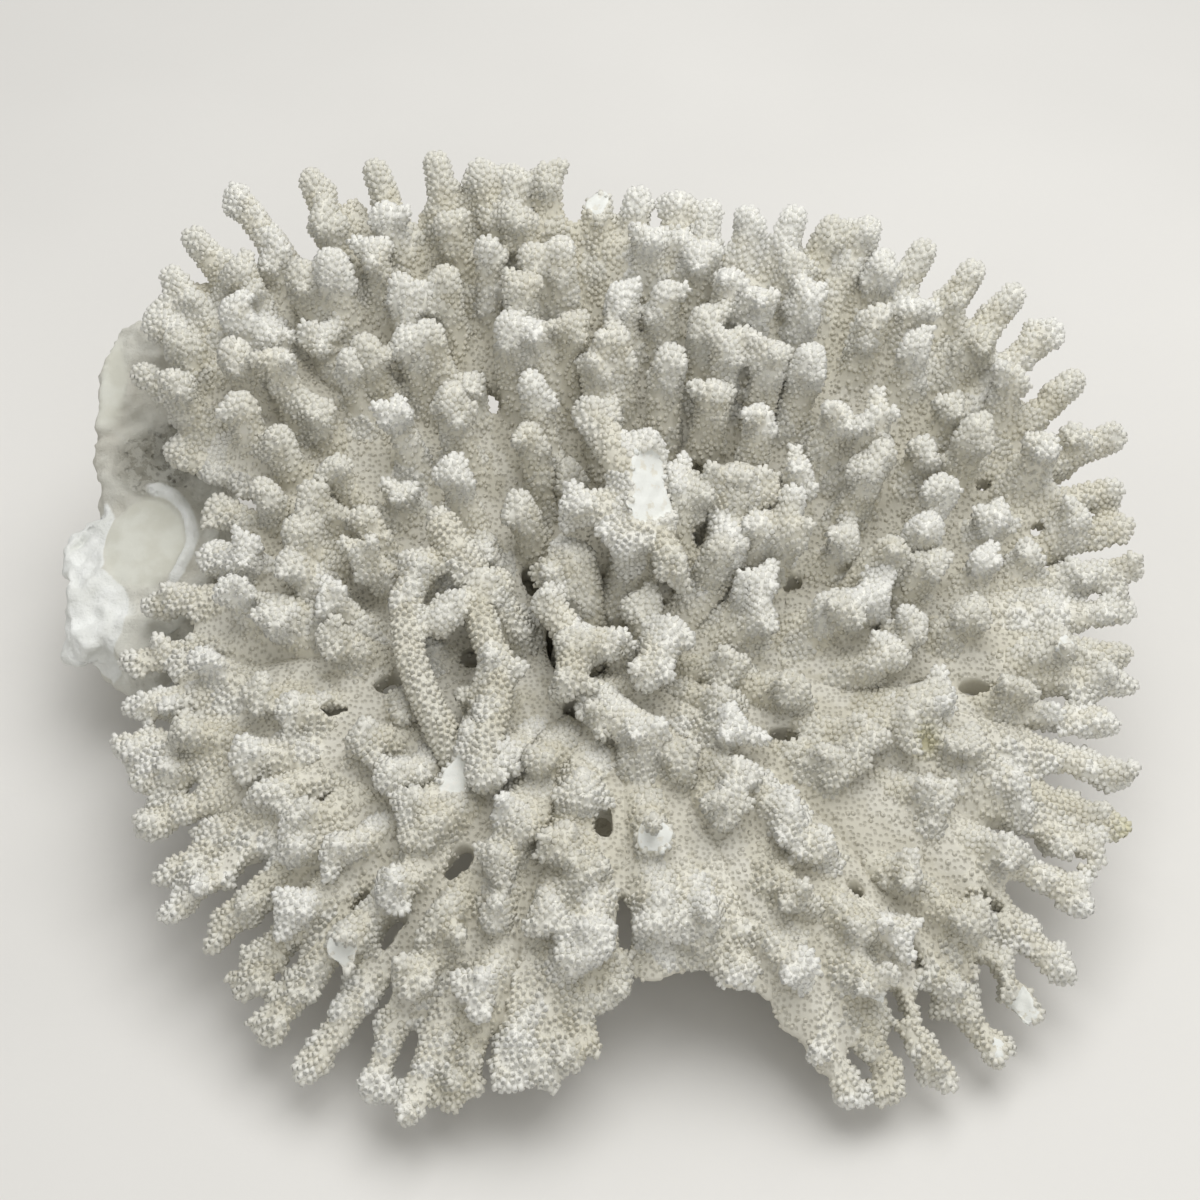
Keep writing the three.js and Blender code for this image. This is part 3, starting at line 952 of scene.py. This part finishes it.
def build_trunk():
    mesh = bmesh.new()
    rings = [[mesh.verts.new(trunk_point(side, ring / (TRUNK_RINGS - 1)))
              for side in range(TRUNK_SIDES)] for ring in range(TRUNK_RINGS)]
    add_flank(mesh, rings)
    hub_height = CENTRE_HEIGHT - HUB_DEPTH
    for loop, height, flip in ((rings[0], 0.0, True), (rings[-1], hub_height, False)):
        hub = mesh.verts.new((0, 0, height * MM))
        for side in range(TRUNK_SIDES):
            corner = (loop[side], loop[(side + 1) % TRUNK_SIDES], hub)
            mesh.faces.new(tuple(reversed(corner)) if flip else corner)
    data = bpy.data.meshes.new("trunk")
    bmesh.ops.recalc_face_normals(mesh, faces=mesh.faces)
    mesh.to_mesh(data)
    mesh.free()
    return link("trunk", data)


trunk = build_trunk()
print("trunk faces:", len(trunk.data.polygons))

# %% [markdown]
# ## Dead rock
# The colony grew against a lump of dead reef rock, which is still joined at its left. Its top
# lies low in front, where a worn oval is, and climbs to the fingers behind. The fingers' own
# height is a formula, so the rock's top can be blended into it and needs no sculpting.

# %% The rock's top
OVAL = (-179.0, 49.0, 17.5, 20.0)
OVAL_SLOPE = (0.12, 0.28)
OVAL_HEIGHT = 66.0
UNDER_TABLE = 6
CLIMB = (62, 100)


def ease(value, low, high):
    """A smooth step from 0 at low to 1 at high."""
    share = clamp((value - low) / (high - low), 0.0, 1.0)
    return share * share * (3 - 2 * share)


def oval_level(x, y):
    """Height of the tilted plane that the worn oval lies in."""
    return OVAL_HEIGHT + (x - OVAL[0]) * OVAL_SLOPE[0] + (y - OVAL[1]) * OVAL_SLOPE[1]


def rock_top(x, y):
    """Height of the rock's top, which lies low in front and climbs to the fingers behind."""
    azimuth = math.degrees(math.atan2(y, x))
    behind = table_height(azimuth, math.hypot(x, y)) - UNDER_TABLE
    climb = ease(y, *CLIMB)
    return oval_level(x, y) * (1 - climb) + behind * climb


print("height of the oval's middle:", round(rock_top(*OVAL[:2]), 1), "mm")

# %% [markdown]
# The rock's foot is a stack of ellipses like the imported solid, and its top has an outline of
# its own. Two freshly broken chalk blocks stand at its front. Cubes would look cut, so each
# is a ball pressed flat against a few planes. One Remesh then makes it all a single skin.

# %% Rock and blocks
ROCK_SIDES = 120
ROCK_RINGS = 60
ROCK_VOXEL = 1.5 * MM
ROCK_CENTRE = (-178.0, 60.0)
ROCK_OUTLINE = (
    # direction in degrees, distance from the rock's centre in millimetres
    (-180, 26), (-172, 32), (-160, 33), (-138, 40), (-121, 50), (-105, 50), (-95, 58), (-60, 46),
    (-30, 33), (0, 27), (35, 32), (65, 56), (90, 73), (104, 70), (116, 52), (125, 38), (146, 28),
    (162, 20), (172, 20), (180, 26),
)
ROCK_FOOT = (
    # share of height, centre x, centre y, half width, half length
    (0.0, -165.0, 82.0, 24.0, 31.0),
    (0.26, -172.0, 72.0, 26.0, 44.0),
    (0.6, -179.0, 62.0, 27.0, 62.0),
)
BLOCKS = (
    # centre and half sizes
    ((-198.0, 21.0, 46.0), (13.0, 16.0, 13.0)),
    ((-204.0, 52.0, 57.0), (11.0, 15.0, 10.0)),
)
BLOCK_PLANES = (
    (0.1, -0.2, 1, 0.62), (-1, 0.1, 0.2, 0.72), (-0.5, -1, 0.3, 0.8), (0.6, -1, 0.2, 0.78),
    (-0.8, 0.7, 0.5, 0.8), (0.1, -0.5, -1, 0.75), (-0.5, -0.5, 0.9, 0.82),
)


def rock_point(side, share):
    """A point of the rock's flank, blended from its elliptical foot to its top outline."""
    turn = 360 * side / ROCK_SIDES - 180
    columns = list(zip(*ROCK_FOOT))
    x0, y0, wide, long = (float(np.interp(share, columns[0], row)) for row in columns[1:])
    radius = float(np.interp(turn, *zip(*ROCK_OUTLINE)))
    cosine, sine = math.cos(turn * DEGREE), math.sin(turn * DEGREE)
    blend = clamp((share - 0.35) / 0.4, 0.0, 1.0)
    x = (x0 + wide * cosine) * (1 - blend) + (ROCK_CENTRE[0] + radius * cosine) * blend
    y = (y0 + long * sine) * (1 - blend) + (ROCK_CENTRE[1] + radius * sine) * blend
    return Vector((x, y, rock_top(x, y) * share)) * MM


def add_block(mesh, centre, half):
    """A ball pressed flat against the block's planes, then sized and set in its place."""
    made = bmesh.ops.create_icosphere(mesh, subdivisions=4, radius=1)["verts"]
    for vertex in made:
        for *normal, limit in BLOCK_PLANES:
            normal = Vector(normal).normalized()
            vertex.co -= normal * max(0.0, vertex.co.dot(normal) - limit)
        vertex.co = Vector(c + h * v for c, h, v in zip(centre, half, vertex.co)) * MM


def build_rock():
    mesh = bmesh.new()
    rings = [[mesh.verts.new(rock_point(side, ring / (ROCK_RINGS - 1)))
              for side in range(ROCK_SIDES)] for ring in range(ROCK_RINGS)]
    add_flank(mesh, rings)
    mesh.faces.new(rings[0][::-1])
    mesh.faces.new(rings[-1])
    for centre, half in BLOCKS:
        add_block(mesh, centre, half)
    data = bpy.data.meshes.new("rock")
    bmesh.ops.recalc_face_normals(mesh, faces=mesh.faces)
    mesh.to_mesh(data)
    mesh.free()
    piece = link("rock", data)
    add_remesh(piece, ROCK_VOXEL)
    return plain_mesh(piece)


rock = build_rock()
print("rock faces:", len(rock.data.polygons))

# %% [markdown]
# The rock's surface differs from place to place: a worn pale oval on top with a raised chalky
# rim towards the coral, a worn patch behind it, a grey pitted hollow between the two, and the
# chalk blocks. They could be painted by hand, but a soft mask for each, kept as an attribute,
# does two jobs. It steers how far noise pushes the surface here, and the colours later.

# %% Rock surface
WORN_PATCH = (-198.0, 107.0, 9.0, 18.0)
GREY_HOLLOW = (-176.0, 80.0, 20.0, 14.0)
CAVITY = Vector((-207.0, 53.0, 67.0))
CAVITY_REACH = 5.5
CAVITY_DEPTH = 3.5
OVAL_DOME = 2.0
RIM_HEIGHT = 2.6
ROCK_LUMP = (80, 4.0)
ROCK_CHIP = (210, 1.9)
ROCK_CREASE = (420, -1.0)
ROCK_PIT = (130, 2.5)
PIT_SHIFT = Vector((3, 1, 7))


def oval_share(x, y, oval):
    """How far out a point lies in an ellipse given as centre and half sizes: 1 on its rim."""
    return math.hypot((x - oval[0]) / oval[2], (y - oval[1]) / oval[3])


def block_share(x, y, centre, half):
    """How much a point belongs to a block."""
    out = oval_share(x, y, (*centre[:2], half[0] + 2, half[1] + 2))
    return 1 - ease(out, 0.9, 1.15)


def rock_relief(spot, grey):
    """How far noise pushes the rock in or out at a spot, in millimetres."""
    lump = noise.noise(spot * ROCK_LUMP[0]) * ROCK_LUMP[1]
    lump += noise.noise(spot * ROCK_CHIP[0]) * ROCK_CHIP[1]
    lump += abs(noise.noise(spot * ROCK_CREASE[0])) * ROCK_CREASE[1] * (1 + grey)
    pit = ease(noise.noise(spot * ROCK_PIT[0] + PIT_SHIFT), 0.1, 0.4)
    return lump - ROCK_PIT[1] * grey * pit


def shape_rock():
    """Paints the masks on the rock and pushes its surface by them."""
    mesh = rock.data
    masks = {label: np.zeros(len(mesh.vertices), "f") for label in ("worn", "chalk", "grey")}
    normals = [vertex.normal.copy() for vertex in mesh.vertices]
    for vertex, normal in zip(mesh.vertices, normals):
        x, y, z = vertex.co / MM
        out = oval_share(x, y, OVAL)
        upward = ease(normal.z, 0.2, 0.7)
        inside = (1 - ease(out, 0.85, 1.0)) * upward
        inward = (x - OVAL[0]) / OVAL[2] + 0.35 * (y - OVAL[1]) / OVAL[3]
        rim = ease(out, 0.86, 1.0) * (1 - ease(out, 1.08, 1.26)) * upward
        rim *= ease(inward, 0.1, 0.6)
        patch = (1 - ease(oval_share(x, y, WORN_PATCH), 0.7, 1.1)) * upward
        block = max(block_share(x, y, centre, half) for centre, half in BLOCKS)
        block *= (1 - inside) * ease(z, 30, 36)
        grey = (1 - ease(oval_share(x, y, GREY_HOLLOW), 0.6, 1.05)) * (1 - inside) * upward
        masks["worn"][vertex.index] = max(inside, patch)
        masks["chalk"][vertex.index] = max(rim, block)
        masks["grey"][vertex.index] = grey
        if inside > 0 and z > 45:
            level = oval_level(x, y) + OVAL_DOME * (1 - out * out)
            vertex.co.z += (level - z) * MM * inside
        rough = 1 - 0.85 * max(inside, patch)
        lump = rock_relief(vertex.co, grey)
        away = (Vector((x, y, z)) - CAVITY).length
        lump -= CAVITY_DEPTH * (1 - ease(away, 0.4 * CAVITY_REACH, CAVITY_REACH))
        fade = ease(z, 0.2, 3.0)
        vertex.co += normal * ((lump * rough + RIM_HEIGHT * rim) * fade * MM)
        vertex.co.z = max(vertex.co.z, 0.0)
    for label, values in masks.items():
        layer = mesh.attributes.new(label, "FLOAT", "POINT")
        layer.data.foreach_set("value", values)
    for polygon in mesh.polygons:
        polygon.use_smooth = True
    return masks


rock_masks = shape_rock()
for label, values in rock_masks.items():
    print("rock mask", label, "covers", int((values > 0.5).sum()), "vertices")

# %% [markdown]
# ## Corallites by Geometry Nodes
# Thousands of cups follow the skin. A bump pattern would leave the outline smooth, so
# Geometry Nodes scatter real ones: points by Poisson disk, which keeps them evenly apart, one
# cup instanced on each, tilted from the surface normal towards the finger's tip. The cup is a
# tiny closed solid with a sunken centre. Two attributes mark its pit and the whole bead.

# %% One cup
CUP_SIDES = 5


def build_cup():
    """A unit corallite: radius and height 1, with its sunken centre marked as a pit."""
    points = []
    for radius, height in ((1.0, -0.6), (0.68, 0.85)):
        for side in range(CUP_SIDES):
            turn = 2 * math.pi * side / CUP_SIDES
            points.append((radius * math.cos(turn), radius * math.sin(turn), height))
    points.append((0, 0, 0.35))
    faces = [tuple(reversed(range(CUP_SIDES)))]
    for side in range(CUP_SIDES):
        after = (side + 1) % CUP_SIDES
        faces.append((side, after, CUP_SIDES + after, CUP_SIDES + side))
        faces.append((CUP_SIDES + side, CUP_SIDES + after, 2 * CUP_SIDES))
    mesh = bpy.data.meshes.new("cup")
    mesh.from_pydata(points, [], faces)
    pit = mesh.attributes.new("pit", "FLOAT", "POINT")
    pit.data.foreach_set("value", [0.0] * (2 * CUP_SIDES) + [1.0])
    bead = mesh.attributes.new("bead", "FLOAT", "POINT")
    bead.data.foreach_set("value", [1.0] * len(points))
    cup = link("cup", mesh)
    cup.hide_render = True
    return cup


cup = build_cup()
print("cup faces:", len(cup.data.polygons))

# %% [markdown]
# Node trees can be drawn in the editor or written as calls. Written ones can be read and
# changed here, so a small class makes the calls short. The shaders use it later as well.

# %% Short calls for nodes
class Nodes:
    """Short calls for adding and joining the nodes of a tree."""

    def __init__(self, tree):
        self.tree = tree

    def add(self, kind, values=None, **settings):
        node = self.tree.nodes.new(kind)
        for label, value in settings.items():
            setattr(node, label, value)
        for key, value in (values or {}).items():
            if isinstance(value, bpy.types.NodeSocket):
                self.tree.links.new(value, node.inputs[key])
            else:
                node.inputs[key].default_value = value
        return node

    def attribute(self, label, kind="FLOAT"):
        node = self.add("GeometryNodeInputNamedAttribute", {"Name": label}, data_type=kind)
        return node.outputs["Attribute"]

    def math(self, operation, first, second=0.0, third=0.5):
        node = self.add("ShaderNodeMath", {0: first, 1: second, 2: third},
                        operation=operation)
        return node.outputs[0]

    def vector(self, operation, first, second):
        key = "Scale" if operation == "SCALE" else 1
        node = self.add("ShaderNodeVectorMath", {0: first, key: second}, operation=operation)
        return node.outputs[0]


print("calls for nodes:", Nodes.add.__name__, Nodes.math.__name__, Nodes.vector.__name__)

# %% [markdown]
# The tree has named inputs for spacing, size, lean and seed. It ends in Realize Instances and
# Set Material, because a model handed over holds no instances.

# %% The corallite tree
CUP_INPUTS = (
    ("Spacing", "NodeSocketFloat", 1.72 * MM),
    ("Radius", "NodeSocketFloat", 1.12 * MM),
    ("Height", "NodeSocketFloat", 1.0 * MM),
    ("Lean", "NodeSocketFloat", 0.7),
    ("Seed", "NodeSocketInt", 1),
    ("Cup", "NodeSocketObject", None),
    ("Finish", "NodeSocketMaterial", None),
)
DENSEST = 900000.0
SWELL = (0.88, 1.12)
# at the foot of a finger, and what its tip adds
CUP_SIZE = (0.85, 0.25)
CUP_RISE = (0.8, 0.8)


def corallite_tree():
    """The tree that sets a cup on every scattered point and keeps the skin below."""
    tree = bpy.data.node_groups.new("corallites", "GeometryNodeTree")
    sockets = tree.interface
    sockets.new_socket("Geometry", in_out="INPUT", socket_type="NodeSocketGeometry")
    for label, kind, value in CUP_INPUTS:
        socket = sockets.new_socket(label, in_out="INPUT", socket_type=kind)
        if value is not None:
            socket.default_value = value
    sockets.new_socket("Geometry", in_out="OUTPUT", socket_type="NodeSocketGeometry")
    nodes = Nodes(tree)
    given = nodes.add("NodeGroupInput").outputs
    spots = nodes.add("GeometryNodeDistributePointsOnFaces", {
        "Mesh": given["Geometry"], "Distance Min": given["Spacing"], "Density Max": DENSEST,
        "Density Factor": nodes.attribute("cup"), "Seed": given["Seed"],
    }, distribute_method="POISSON")
    growth = nodes.vector("SCALE", nodes.attribute("growth", "FLOAT_VECTOR"), given["Lean"])
    heading = nodes.vector("ADD", spots.outputs["Normal"], growth)
    turn = nodes.add("FunctionNodeAlignRotationToVector", {"Vector": heading}, axis="Z")
    swell = nodes.add("FunctionNodeRandomValue", {2: SWELL[0], 3: SWELL[1],
                                                  "Seed": given["Seed"]})
    tip = nodes.attribute("tip")
    grown = nodes.math("MULTIPLY_ADD", tip, CUP_SIZE[1], CUP_SIZE[0])
    size = nodes.math("MULTIPLY", swell.outputs[1], grown)
    wide = nodes.math("MULTIPLY", size, given["Radius"])
    taller = nodes.math("MULTIPLY_ADD", tip, CUP_RISE[1], CUP_RISE[0])
    high = nodes.math("MULTIPLY", nodes.math("MULTIPLY", size, taller), given["Height"])
    scale = nodes.add("ShaderNodeCombineXYZ", {0: wide, 1: wide, 2: high})
    shape = nodes.add("GeometryNodeObjectInfo", {"Object": given["Cup"]})
    cups = nodes.add("GeometryNodeInstanceOnPoints", {
        "Points": spots.outputs["Points"], "Instance": shape.outputs["Geometry"],
        "Rotation": turn.outputs[0], "Scale": scale.outputs[0],
    })
    joined = nodes.add("GeometryNodeJoinGeometry")
    tree.links.new(cups.outputs[0], joined.inputs[0])
    tree.links.new(given["Geometry"], joined.inputs[0])
    real = nodes.add("GeometryNodeRealizeInstances", {"Geometry": joined.outputs[0]})
    dressed = nodes.add("GeometryNodeSetMaterial", {
        "Geometry": real.outputs[0], "Material": given["Finish"],
    })
    nodes.add("NodeGroupOutput", {0: dressed.outputs[0]})
    return tree


CORALLITES = corallite_tree()
print("corallite tree nodes:", len(CORALLITES.nodes))

# %% [markdown]
# A modifier's inputs are set by their sockets' identifiers, because names may repeat. The
# evaluated result is then taken back as one plain mesh, and the modifier is gone.

# %% Cups on a piece
def grow_cups(piece, finish, seed):
    """Sets the cups on a piece and takes the result back as a plain mesh."""
    modifier = piece.modifiers.new("corallites", "NODES")
    modifier.node_group = CORALLITES
    wanted = {"Seed": seed, "Cup": cup, "Finish": finish}
    for item in CORALLITES.interface.items_tree:
        if item.in_out == "INPUT" and item.name in wanted:
            modifier[item.identifier] = wanted[item.name]
    plain_mesh(piece)
    for polygon in piece.data.polygons:
        polygon.use_smooth = True


print("inputs of the tree:", [label for label, _, _ in CUP_INPUTS])

# %% [markdown]
# ## Coral finish
# Bleached skeleton is matt and chalky, palest where it was growing. An image could be painted
# for it, but noise on Object coordinates has no seams. We first need colours as a shader
# takes them, and short calls for the patterns that all the finishes share.

# %% Colours and shader helpers
def tone(red, green, blue):
    """A colour given on the usual 0 to 255 scale, as the linear values a shader takes."""
    linear = []
    for value in (red, green, blue):
        value /= 255
        linear.append(value / 12.92 if value <= 0.04045 else ((value + 0.055) / 1.055) ** 2.4)
    return (*linear, 1.0)


ROUGHNESS = 0.88
SPECULAR = 0.2
CELL_SCATTER = 0.75


class Shader(Nodes):
    """A material's tree, with calls for the patterns that these finishes share."""

    def __init__(self, name):
        self.material = bpy.data.materials.new(name)
        self.material.use_nodes = True
        super().__init__(self.material.node_tree)
        self.bsdf = self.tree.nodes["Principled BSDF"]
        self.where = self.add("ShaderNodeTexCoord").outputs
        self.place = self.where["Object"]

    def attribute(self, label):
        return self.add("ShaderNodeAttribute", attribute_name=label).outputs["Fac"]

    def upward(self):
        return self.add("ShaderNodeSeparateXYZ", {0: self.where["Normal"]}).outputs["Z"]

    def grain(self, scale, detail=3.0, roughness=0.55):
        return self.add("ShaderNodeTexNoise", {
            "Vector": self.place, "Scale": scale, "Detail": detail, "Roughness": roughness,
        }).outputs["Fac"]

    def cells(self, scale, flat=False):
        """Distance to the nearest of many scattered points, seen from above if flat."""
        node = self.add("ShaderNodeTexVoronoi", {
            "Vector": self.place, "Scale": scale, "Randomness": CELL_SCATTER,
        }, voronoi_dimensions="2D" if flat else "3D")
        return node.outputs["Distance"]

    def band(self, value, low, high, to_low=0.0, to_high=1.0):
        node = self.add("ShaderNodeMapRange", {
            "Value": value, "From Min": low, "From Max": high, "To Min": to_low,
            "To Max": to_high,
        }, interpolation_type="SMOOTHSTEP")
        return node.outputs[0]

    def mix(self, share, first, second, blend="MIX"):
        node = self.add("ShaderNodeMix", {"Factor": share, 6: first, 7: second},
                        data_type="RGBA", blend_type=blend)
        return node.outputs[2]

    def finish(self, colour, height, depth, roughness=ROUGHNESS):
        bump = self.add("ShaderNodeBump", {"Height": height, "Distance": depth, "Strength": 1.0})
        self.tree.links.new(colour, self.bsdf.inputs["Base Color"])
        self.tree.links.new(bump.outputs[0], self.bsdf.inputs["Normal"])
        self.bsdf.inputs["Roughness"].default_value = roughness
        self.bsdf.inputs["Specular IOR Level"].default_value = SPECULAR
        return self.material


print("white tip as linear:", [round(value, 3) for value in tone(232, 232, 226)])

# %% [markdown]
# The coral's colour runs from a greyed tan at the feet of the fingers and on the table, partly
# the older skeleton's own tone and partly painted shade, to near white at the tips. It could
# follow height alone, but the attributes painted on the skin know each finger: its tip, its
# own tint, the cups' pits, which get painted shade, two stains and the fresh breaks. A Voronoi
# pattern adds dark dots, painted shade for the flush pits of the bare skin between the cups,
# and fine noise the grain.

# %% Coral material
PIT_CELLS = 500.0
CORAL_TONES = {
    # painted shade, partly the older skeleton's own tan: the colour at the feet of the fingers
    # and on the table
    "tan_and_shade": tone(214, 211, 200),
    "body": tone(227, 224, 212),
    "pale": tone(237, 236, 230),
    "warm": tone(196, 190, 166),
    "stain": tone(206, 200, 148),
    # painted shade: the dark dots for the flush pits of the bare skin between the cups
    "dot": tone(150, 144, 126),
    # painted shade in the sunken centre of each cup
    "pit": tone(166, 159, 138),
    "fresh": tone(234, 235, 230),
}
WARM_SHARE = 0.3
STAIN_SHARE = 0.45
PIT_SHADE_SHARE = 0.3
CORAL_RELIEF = 0.4 * MM


def skeleton_colour(shader, tones):
    """Painted shade and tan at the feet, body, pale near a tip, then each finger's tint and
    stains.
    """
    drift = shader.grain(28.0)
    led = shader.math("ADD", shader.attribute("tip"), shader.band(drift, 0.3, 0.7, -0.16, 0.16))
    # painted shade: the skin turns darker and tanner towards the feet of the fingers and on the
    # table, where shade falls between them, besides the older skeleton's own tan
    colour = shader.mix(shader.band(led, 0.0, 0.5), tones["tan_and_shade"], tones["body"])
    colour = shader.mix(shader.band(led, 0.62, 1.05), colour, tones["pale"])
    warm = shader.math("MULTIPLY", shader.band(shader.attribute("tint"), 0.0, 1.0), WARM_SHARE)
    colour = shader.mix(warm, colour, tones["warm"], "MULTIPLY")
    stain = shader.band(shader.attribute("stain"), 0.0, 0.8, 0.0, STAIN_SHARE)
    return shader.mix(stain, colour, tones["stain"])


def bare_skin(shader, fresh):
    """Where the skin has no cup on it and is no fresh break, and faces up or down."""
    level = shader.math("ABSOLUTE", shader.upward())
    covered = shader.math("MAXIMUM", shader.attribute("bead"), fresh)
    return shader.math("MULTIPLY", shader.band(level, 0.35, 0.65),
                       shader.math("SUBTRACT", 1.0, covered))


def coral_finish(name, tones):
    shader = Shader(name)
    colour = skeleton_colour(shader, tones)
    fresh = shader.attribute("fresh")
    bare = bare_skin(shader, fresh)
    pits = shader.cells(PIT_CELLS, flat=True)
    # painted shade: dark dots in the flush pits between the cups, which are only a bump
    dot = shader.math("MULTIPLY", shader.band(pits, 0.24, 0.1),
                      shader.band(shader.attribute("cup"), 0.85, 0.45, 0.0, 0.45))
    colour = shader.mix(shader.math("MULTIPLY", dot, bare), colour, tones["dot"])
    # painted shade: the sunken centre of each cup is darkened where shade falls into it
    centre = shader.math("POWER", shader.attribute("pit"), 2.5)
    colour = shader.mix(shader.math("MULTIPLY", centre, PIT_SHADE_SHARE), colour, tones["pit"])
    patchy = shader.band(shader.grain(260.0), 0.3, 0.7, -0.65, 0.1)
    broken = shader.band(shader.math("ADD", fresh, patchy), 0.4, 0.6)
    colour = shader.mix(broken, colour, tones["fresh"])
    grain = shader.grain(900.0, 4.0, 0.65)
    dimple = shader.math("MULTIPLY", shader.band(pits, 0.1, 0.4, -1.0, 0.0), bare)
    relief = shader.math("ADD", dimple, shader.math("MULTIPLY", grain, 0.5))
    return shader.finish(colour, relief, CORAL_RELIEF)


coral = coral_finish("coral_skeleton", CORAL_TONES)
print("coral nodes:", len(coral.node_tree.nodes))

# %% [markdown]
# ## Stone finishes
# The trunk is old skeleton: greyer, with scattered pores. The rock shares its recipe and then
# lays its own patches over it by the masks: the worn oval, the grey hollow and the chalk. Two
# recipes of their own would drift apart, so the shared part is one function.

# %% Trunk and rock materials
TRUNK_TONES = (tone(168, 162, 144), tone(200, 195, 179), tone(216, 213, 200))
TRUNK_PORE = tone(96, 90, 76)
ROCK_TONES = (tone(204, 201, 190), tone(218, 217, 208), tone(233, 233, 226))
ROCK_PORE = tone(92, 88, 76)
GREY_TONE = tone(150, 147, 135)
WORN_TONES = (tone(209, 208, 196), tone(218, 218, 208))
CHALK_TONES = (tone(232, 233, 228), tone(243, 244, 241))
PORE_CELLS = 300.0
STONE_ROUGHNESS = 0.92
TRUNK_RELIEF = 0.7 * MM
ROCK_RELIEF = 0.8 * MM


def stone_base(shader, tones):
    """The mottled colour, the pore pattern, and the dots where pores are dense."""
    dark, body, pale = tones
    colour = shader.mix(shader.band(shader.grain(22.0, 4.0), 0.35, 0.6), dark, body)
    colour = shader.mix(shader.band(shader.grain(60.0, 5.0), 0.5, 0.72), colour, pale)
    pores = shader.cells(PORE_CELLS)
    dense = shader.band(shader.grain(40.0), 0.42, 0.6)
    return colour, pores, shader.math("MULTIPLY", shader.band(pores, 0.28, 0.12), dense)


def trunk_finish():
    shader = Shader("trunk_skeleton")
    colour, pores, dots = stone_base(shader, TRUNK_TONES)
    colour = shader.mix(dots, colour, TRUNK_PORE)
    relief = shader.math("ADD", shader.band(pores, 0.1, 0.4), shader.grain(420.0, 5.0, 0.7))
    return shader.finish(colour, relief, TRUNK_RELIEF, STONE_ROUGHNESS)


def rock_finish():
    shader = Shader("dead_rock")
    colour, pores, dots = stone_base(shader, ROCK_TONES)
    grey, worn, chalk = (shader.attribute(label) for label in ("grey", "worn", "chalk"))
    speck = shader.band(shader.grain(240.0, 4.0, 0.7), 0.46, 0.56)
    greyed = shader.math("MULTIPLY", grey, shader.band(speck, 0, 1, 0.55, 0.9))
    colour = shader.mix(greyed, colour, GREY_TONE)
    dots = shader.math("MULTIPLY", dots, shader.band(grey, 0.0, 0.6, 0.12, 1.0))
    colour = shader.mix(dots, colour, ROCK_PORE)
    smooth = shader.mix(shader.band(shader.grain(90.0, 3.0), 0.35, 0.65), *WORN_TONES)
    colour = shader.mix(worn, colour, smooth)
    white = shader.mix(shader.band(shader.grain(120.0, 4.0), 0.3, 0.7), *CHALK_TONES)
    colour = shader.mix(shader.band(chalk, 0.25, 0.7), colour, white)
    rough = shader.grain(500.0, 5.0, 0.7)
    holes = shader.math("MULTIPLY", shader.band(pores, 0.1, 0.4), shader.band(grey, 0.1, 0.6))
    relief = shader.math("MULTIPLY", shader.math("ADD", holes, rough),
                         shader.band(worn, 0.0, 1.0, 1.0, 0.2))
    return shader.finish(colour, relief, ROCK_RELIEF, STONE_ROUGHNESS)


trunk.data.materials.append(trunk_finish())
rock.data.materials.append(rock_finish())
print("stone finishes:", trunk.data.materials[0].name, rock.data.materials[0].name)

# %% [markdown]
# ## Growing the corallites
# With the skins, the tree and the finish ready, the cups are set on every limb and crown
# branch. One seed for all would repeat the pattern, so each piece has the next one.

# %% Grow the corallites
FIRST_SEED = 7
for number, piece in enumerate(list(limbs.values()) + list(crown.values())):
    grow_cups(piece, coral, FIRST_SEED + number)
bpy.data.objects.remove(cup)
total = sum(len(piece.data.polygons) for piece in limbs.values())
print("limb faces with cups:", total)

# %% [markdown]
# ## Floor and light
# A plain pale floor and soft light let the form speak. A sun would cut hard shadows between
# the fingers, so one wide area light overhead gives soft ones, a weaker one fills from the
# front, and a pale world lifts the rest.

# %% Floor and lights
FLOOR_HALF = 3.0
FLOOR_TONES = (tone(222, 220, 216), tone(227, 225, 221))
AIM = (0, 0, 0.05)
# name, place, size in metres, watts
LIGHTS = (
    ("overhead", (0.25, 0.3, 1.5), 1.3, 17),
    ("front_fill", (0.5, -1.4, 1.1), 1.2, 4),
)
SKY_TONE = tone(232, 232, 230)
SKY_STRENGTH = 0.56


def build_floor():
    mesh = bpy.data.meshes.new("floor")
    corners = [(x * FLOOR_HALF, y * FLOOR_HALF, 0)
               for x, y in ((-1, -1), (1, -1), (1, 1), (-1, 1))]
    mesh.from_pydata(corners, [], [(0, 1, 2, 3)])
    floor = link("floor", mesh)
    shader = Shader("pale_floor")
    colour = shader.mix(shader.band(shader.grain(3.0), 0.3, 0.7), *FLOOR_TONES)
    mesh.materials.append(shader.finish(colour, shader.grain(150.0), 0.1 * MM, 0.7))
    return floor


def area_light(name, spot, size, power):
    data = bpy.data.lights.new(name, "AREA")
    data.shape = "SQUARE"
    data.size = size
    data.energy = power
    light = bpy.data.objects.new(name, data)
    light.location = spot
    light.rotation_euler = (Vector(AIM) - Vector(spot)).to_track_quat("-Z", "Y").to_euler()
    bpy.context.scene.collection.objects.link(light)


floor = build_floor()
for light in LIGHTS:
    area_light(*light)
world = bpy.data.worlds.new("studio")
world.use_nodes = True
sky = world.node_tree.nodes["Background"].inputs
sky["Color"].default_value = SKY_TONE
sky["Strength"].default_value = SKY_STRENGTH
bpy.context.scene.world = world
bpy.context.scene.view_settings.view_transform = "Standard"

# %% [markdown]
# ## Riding on one body
# Nothing on the coral moves, so each piece rides on the one body. It also stands for its
# imported solid, which is hidden.

# %% Rides
for name, piece in limbs.items():
    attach(piece, "root")
    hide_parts(name)
for name, piece in crown.items():
    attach(piece, "root")
    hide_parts(name)
for piece, node, slot in ((trunk, "holdfast", "trunk_skeleton"),
                          (rock, "base_rock", "dead_rock")):
    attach(piece, "root")
    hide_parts(node)
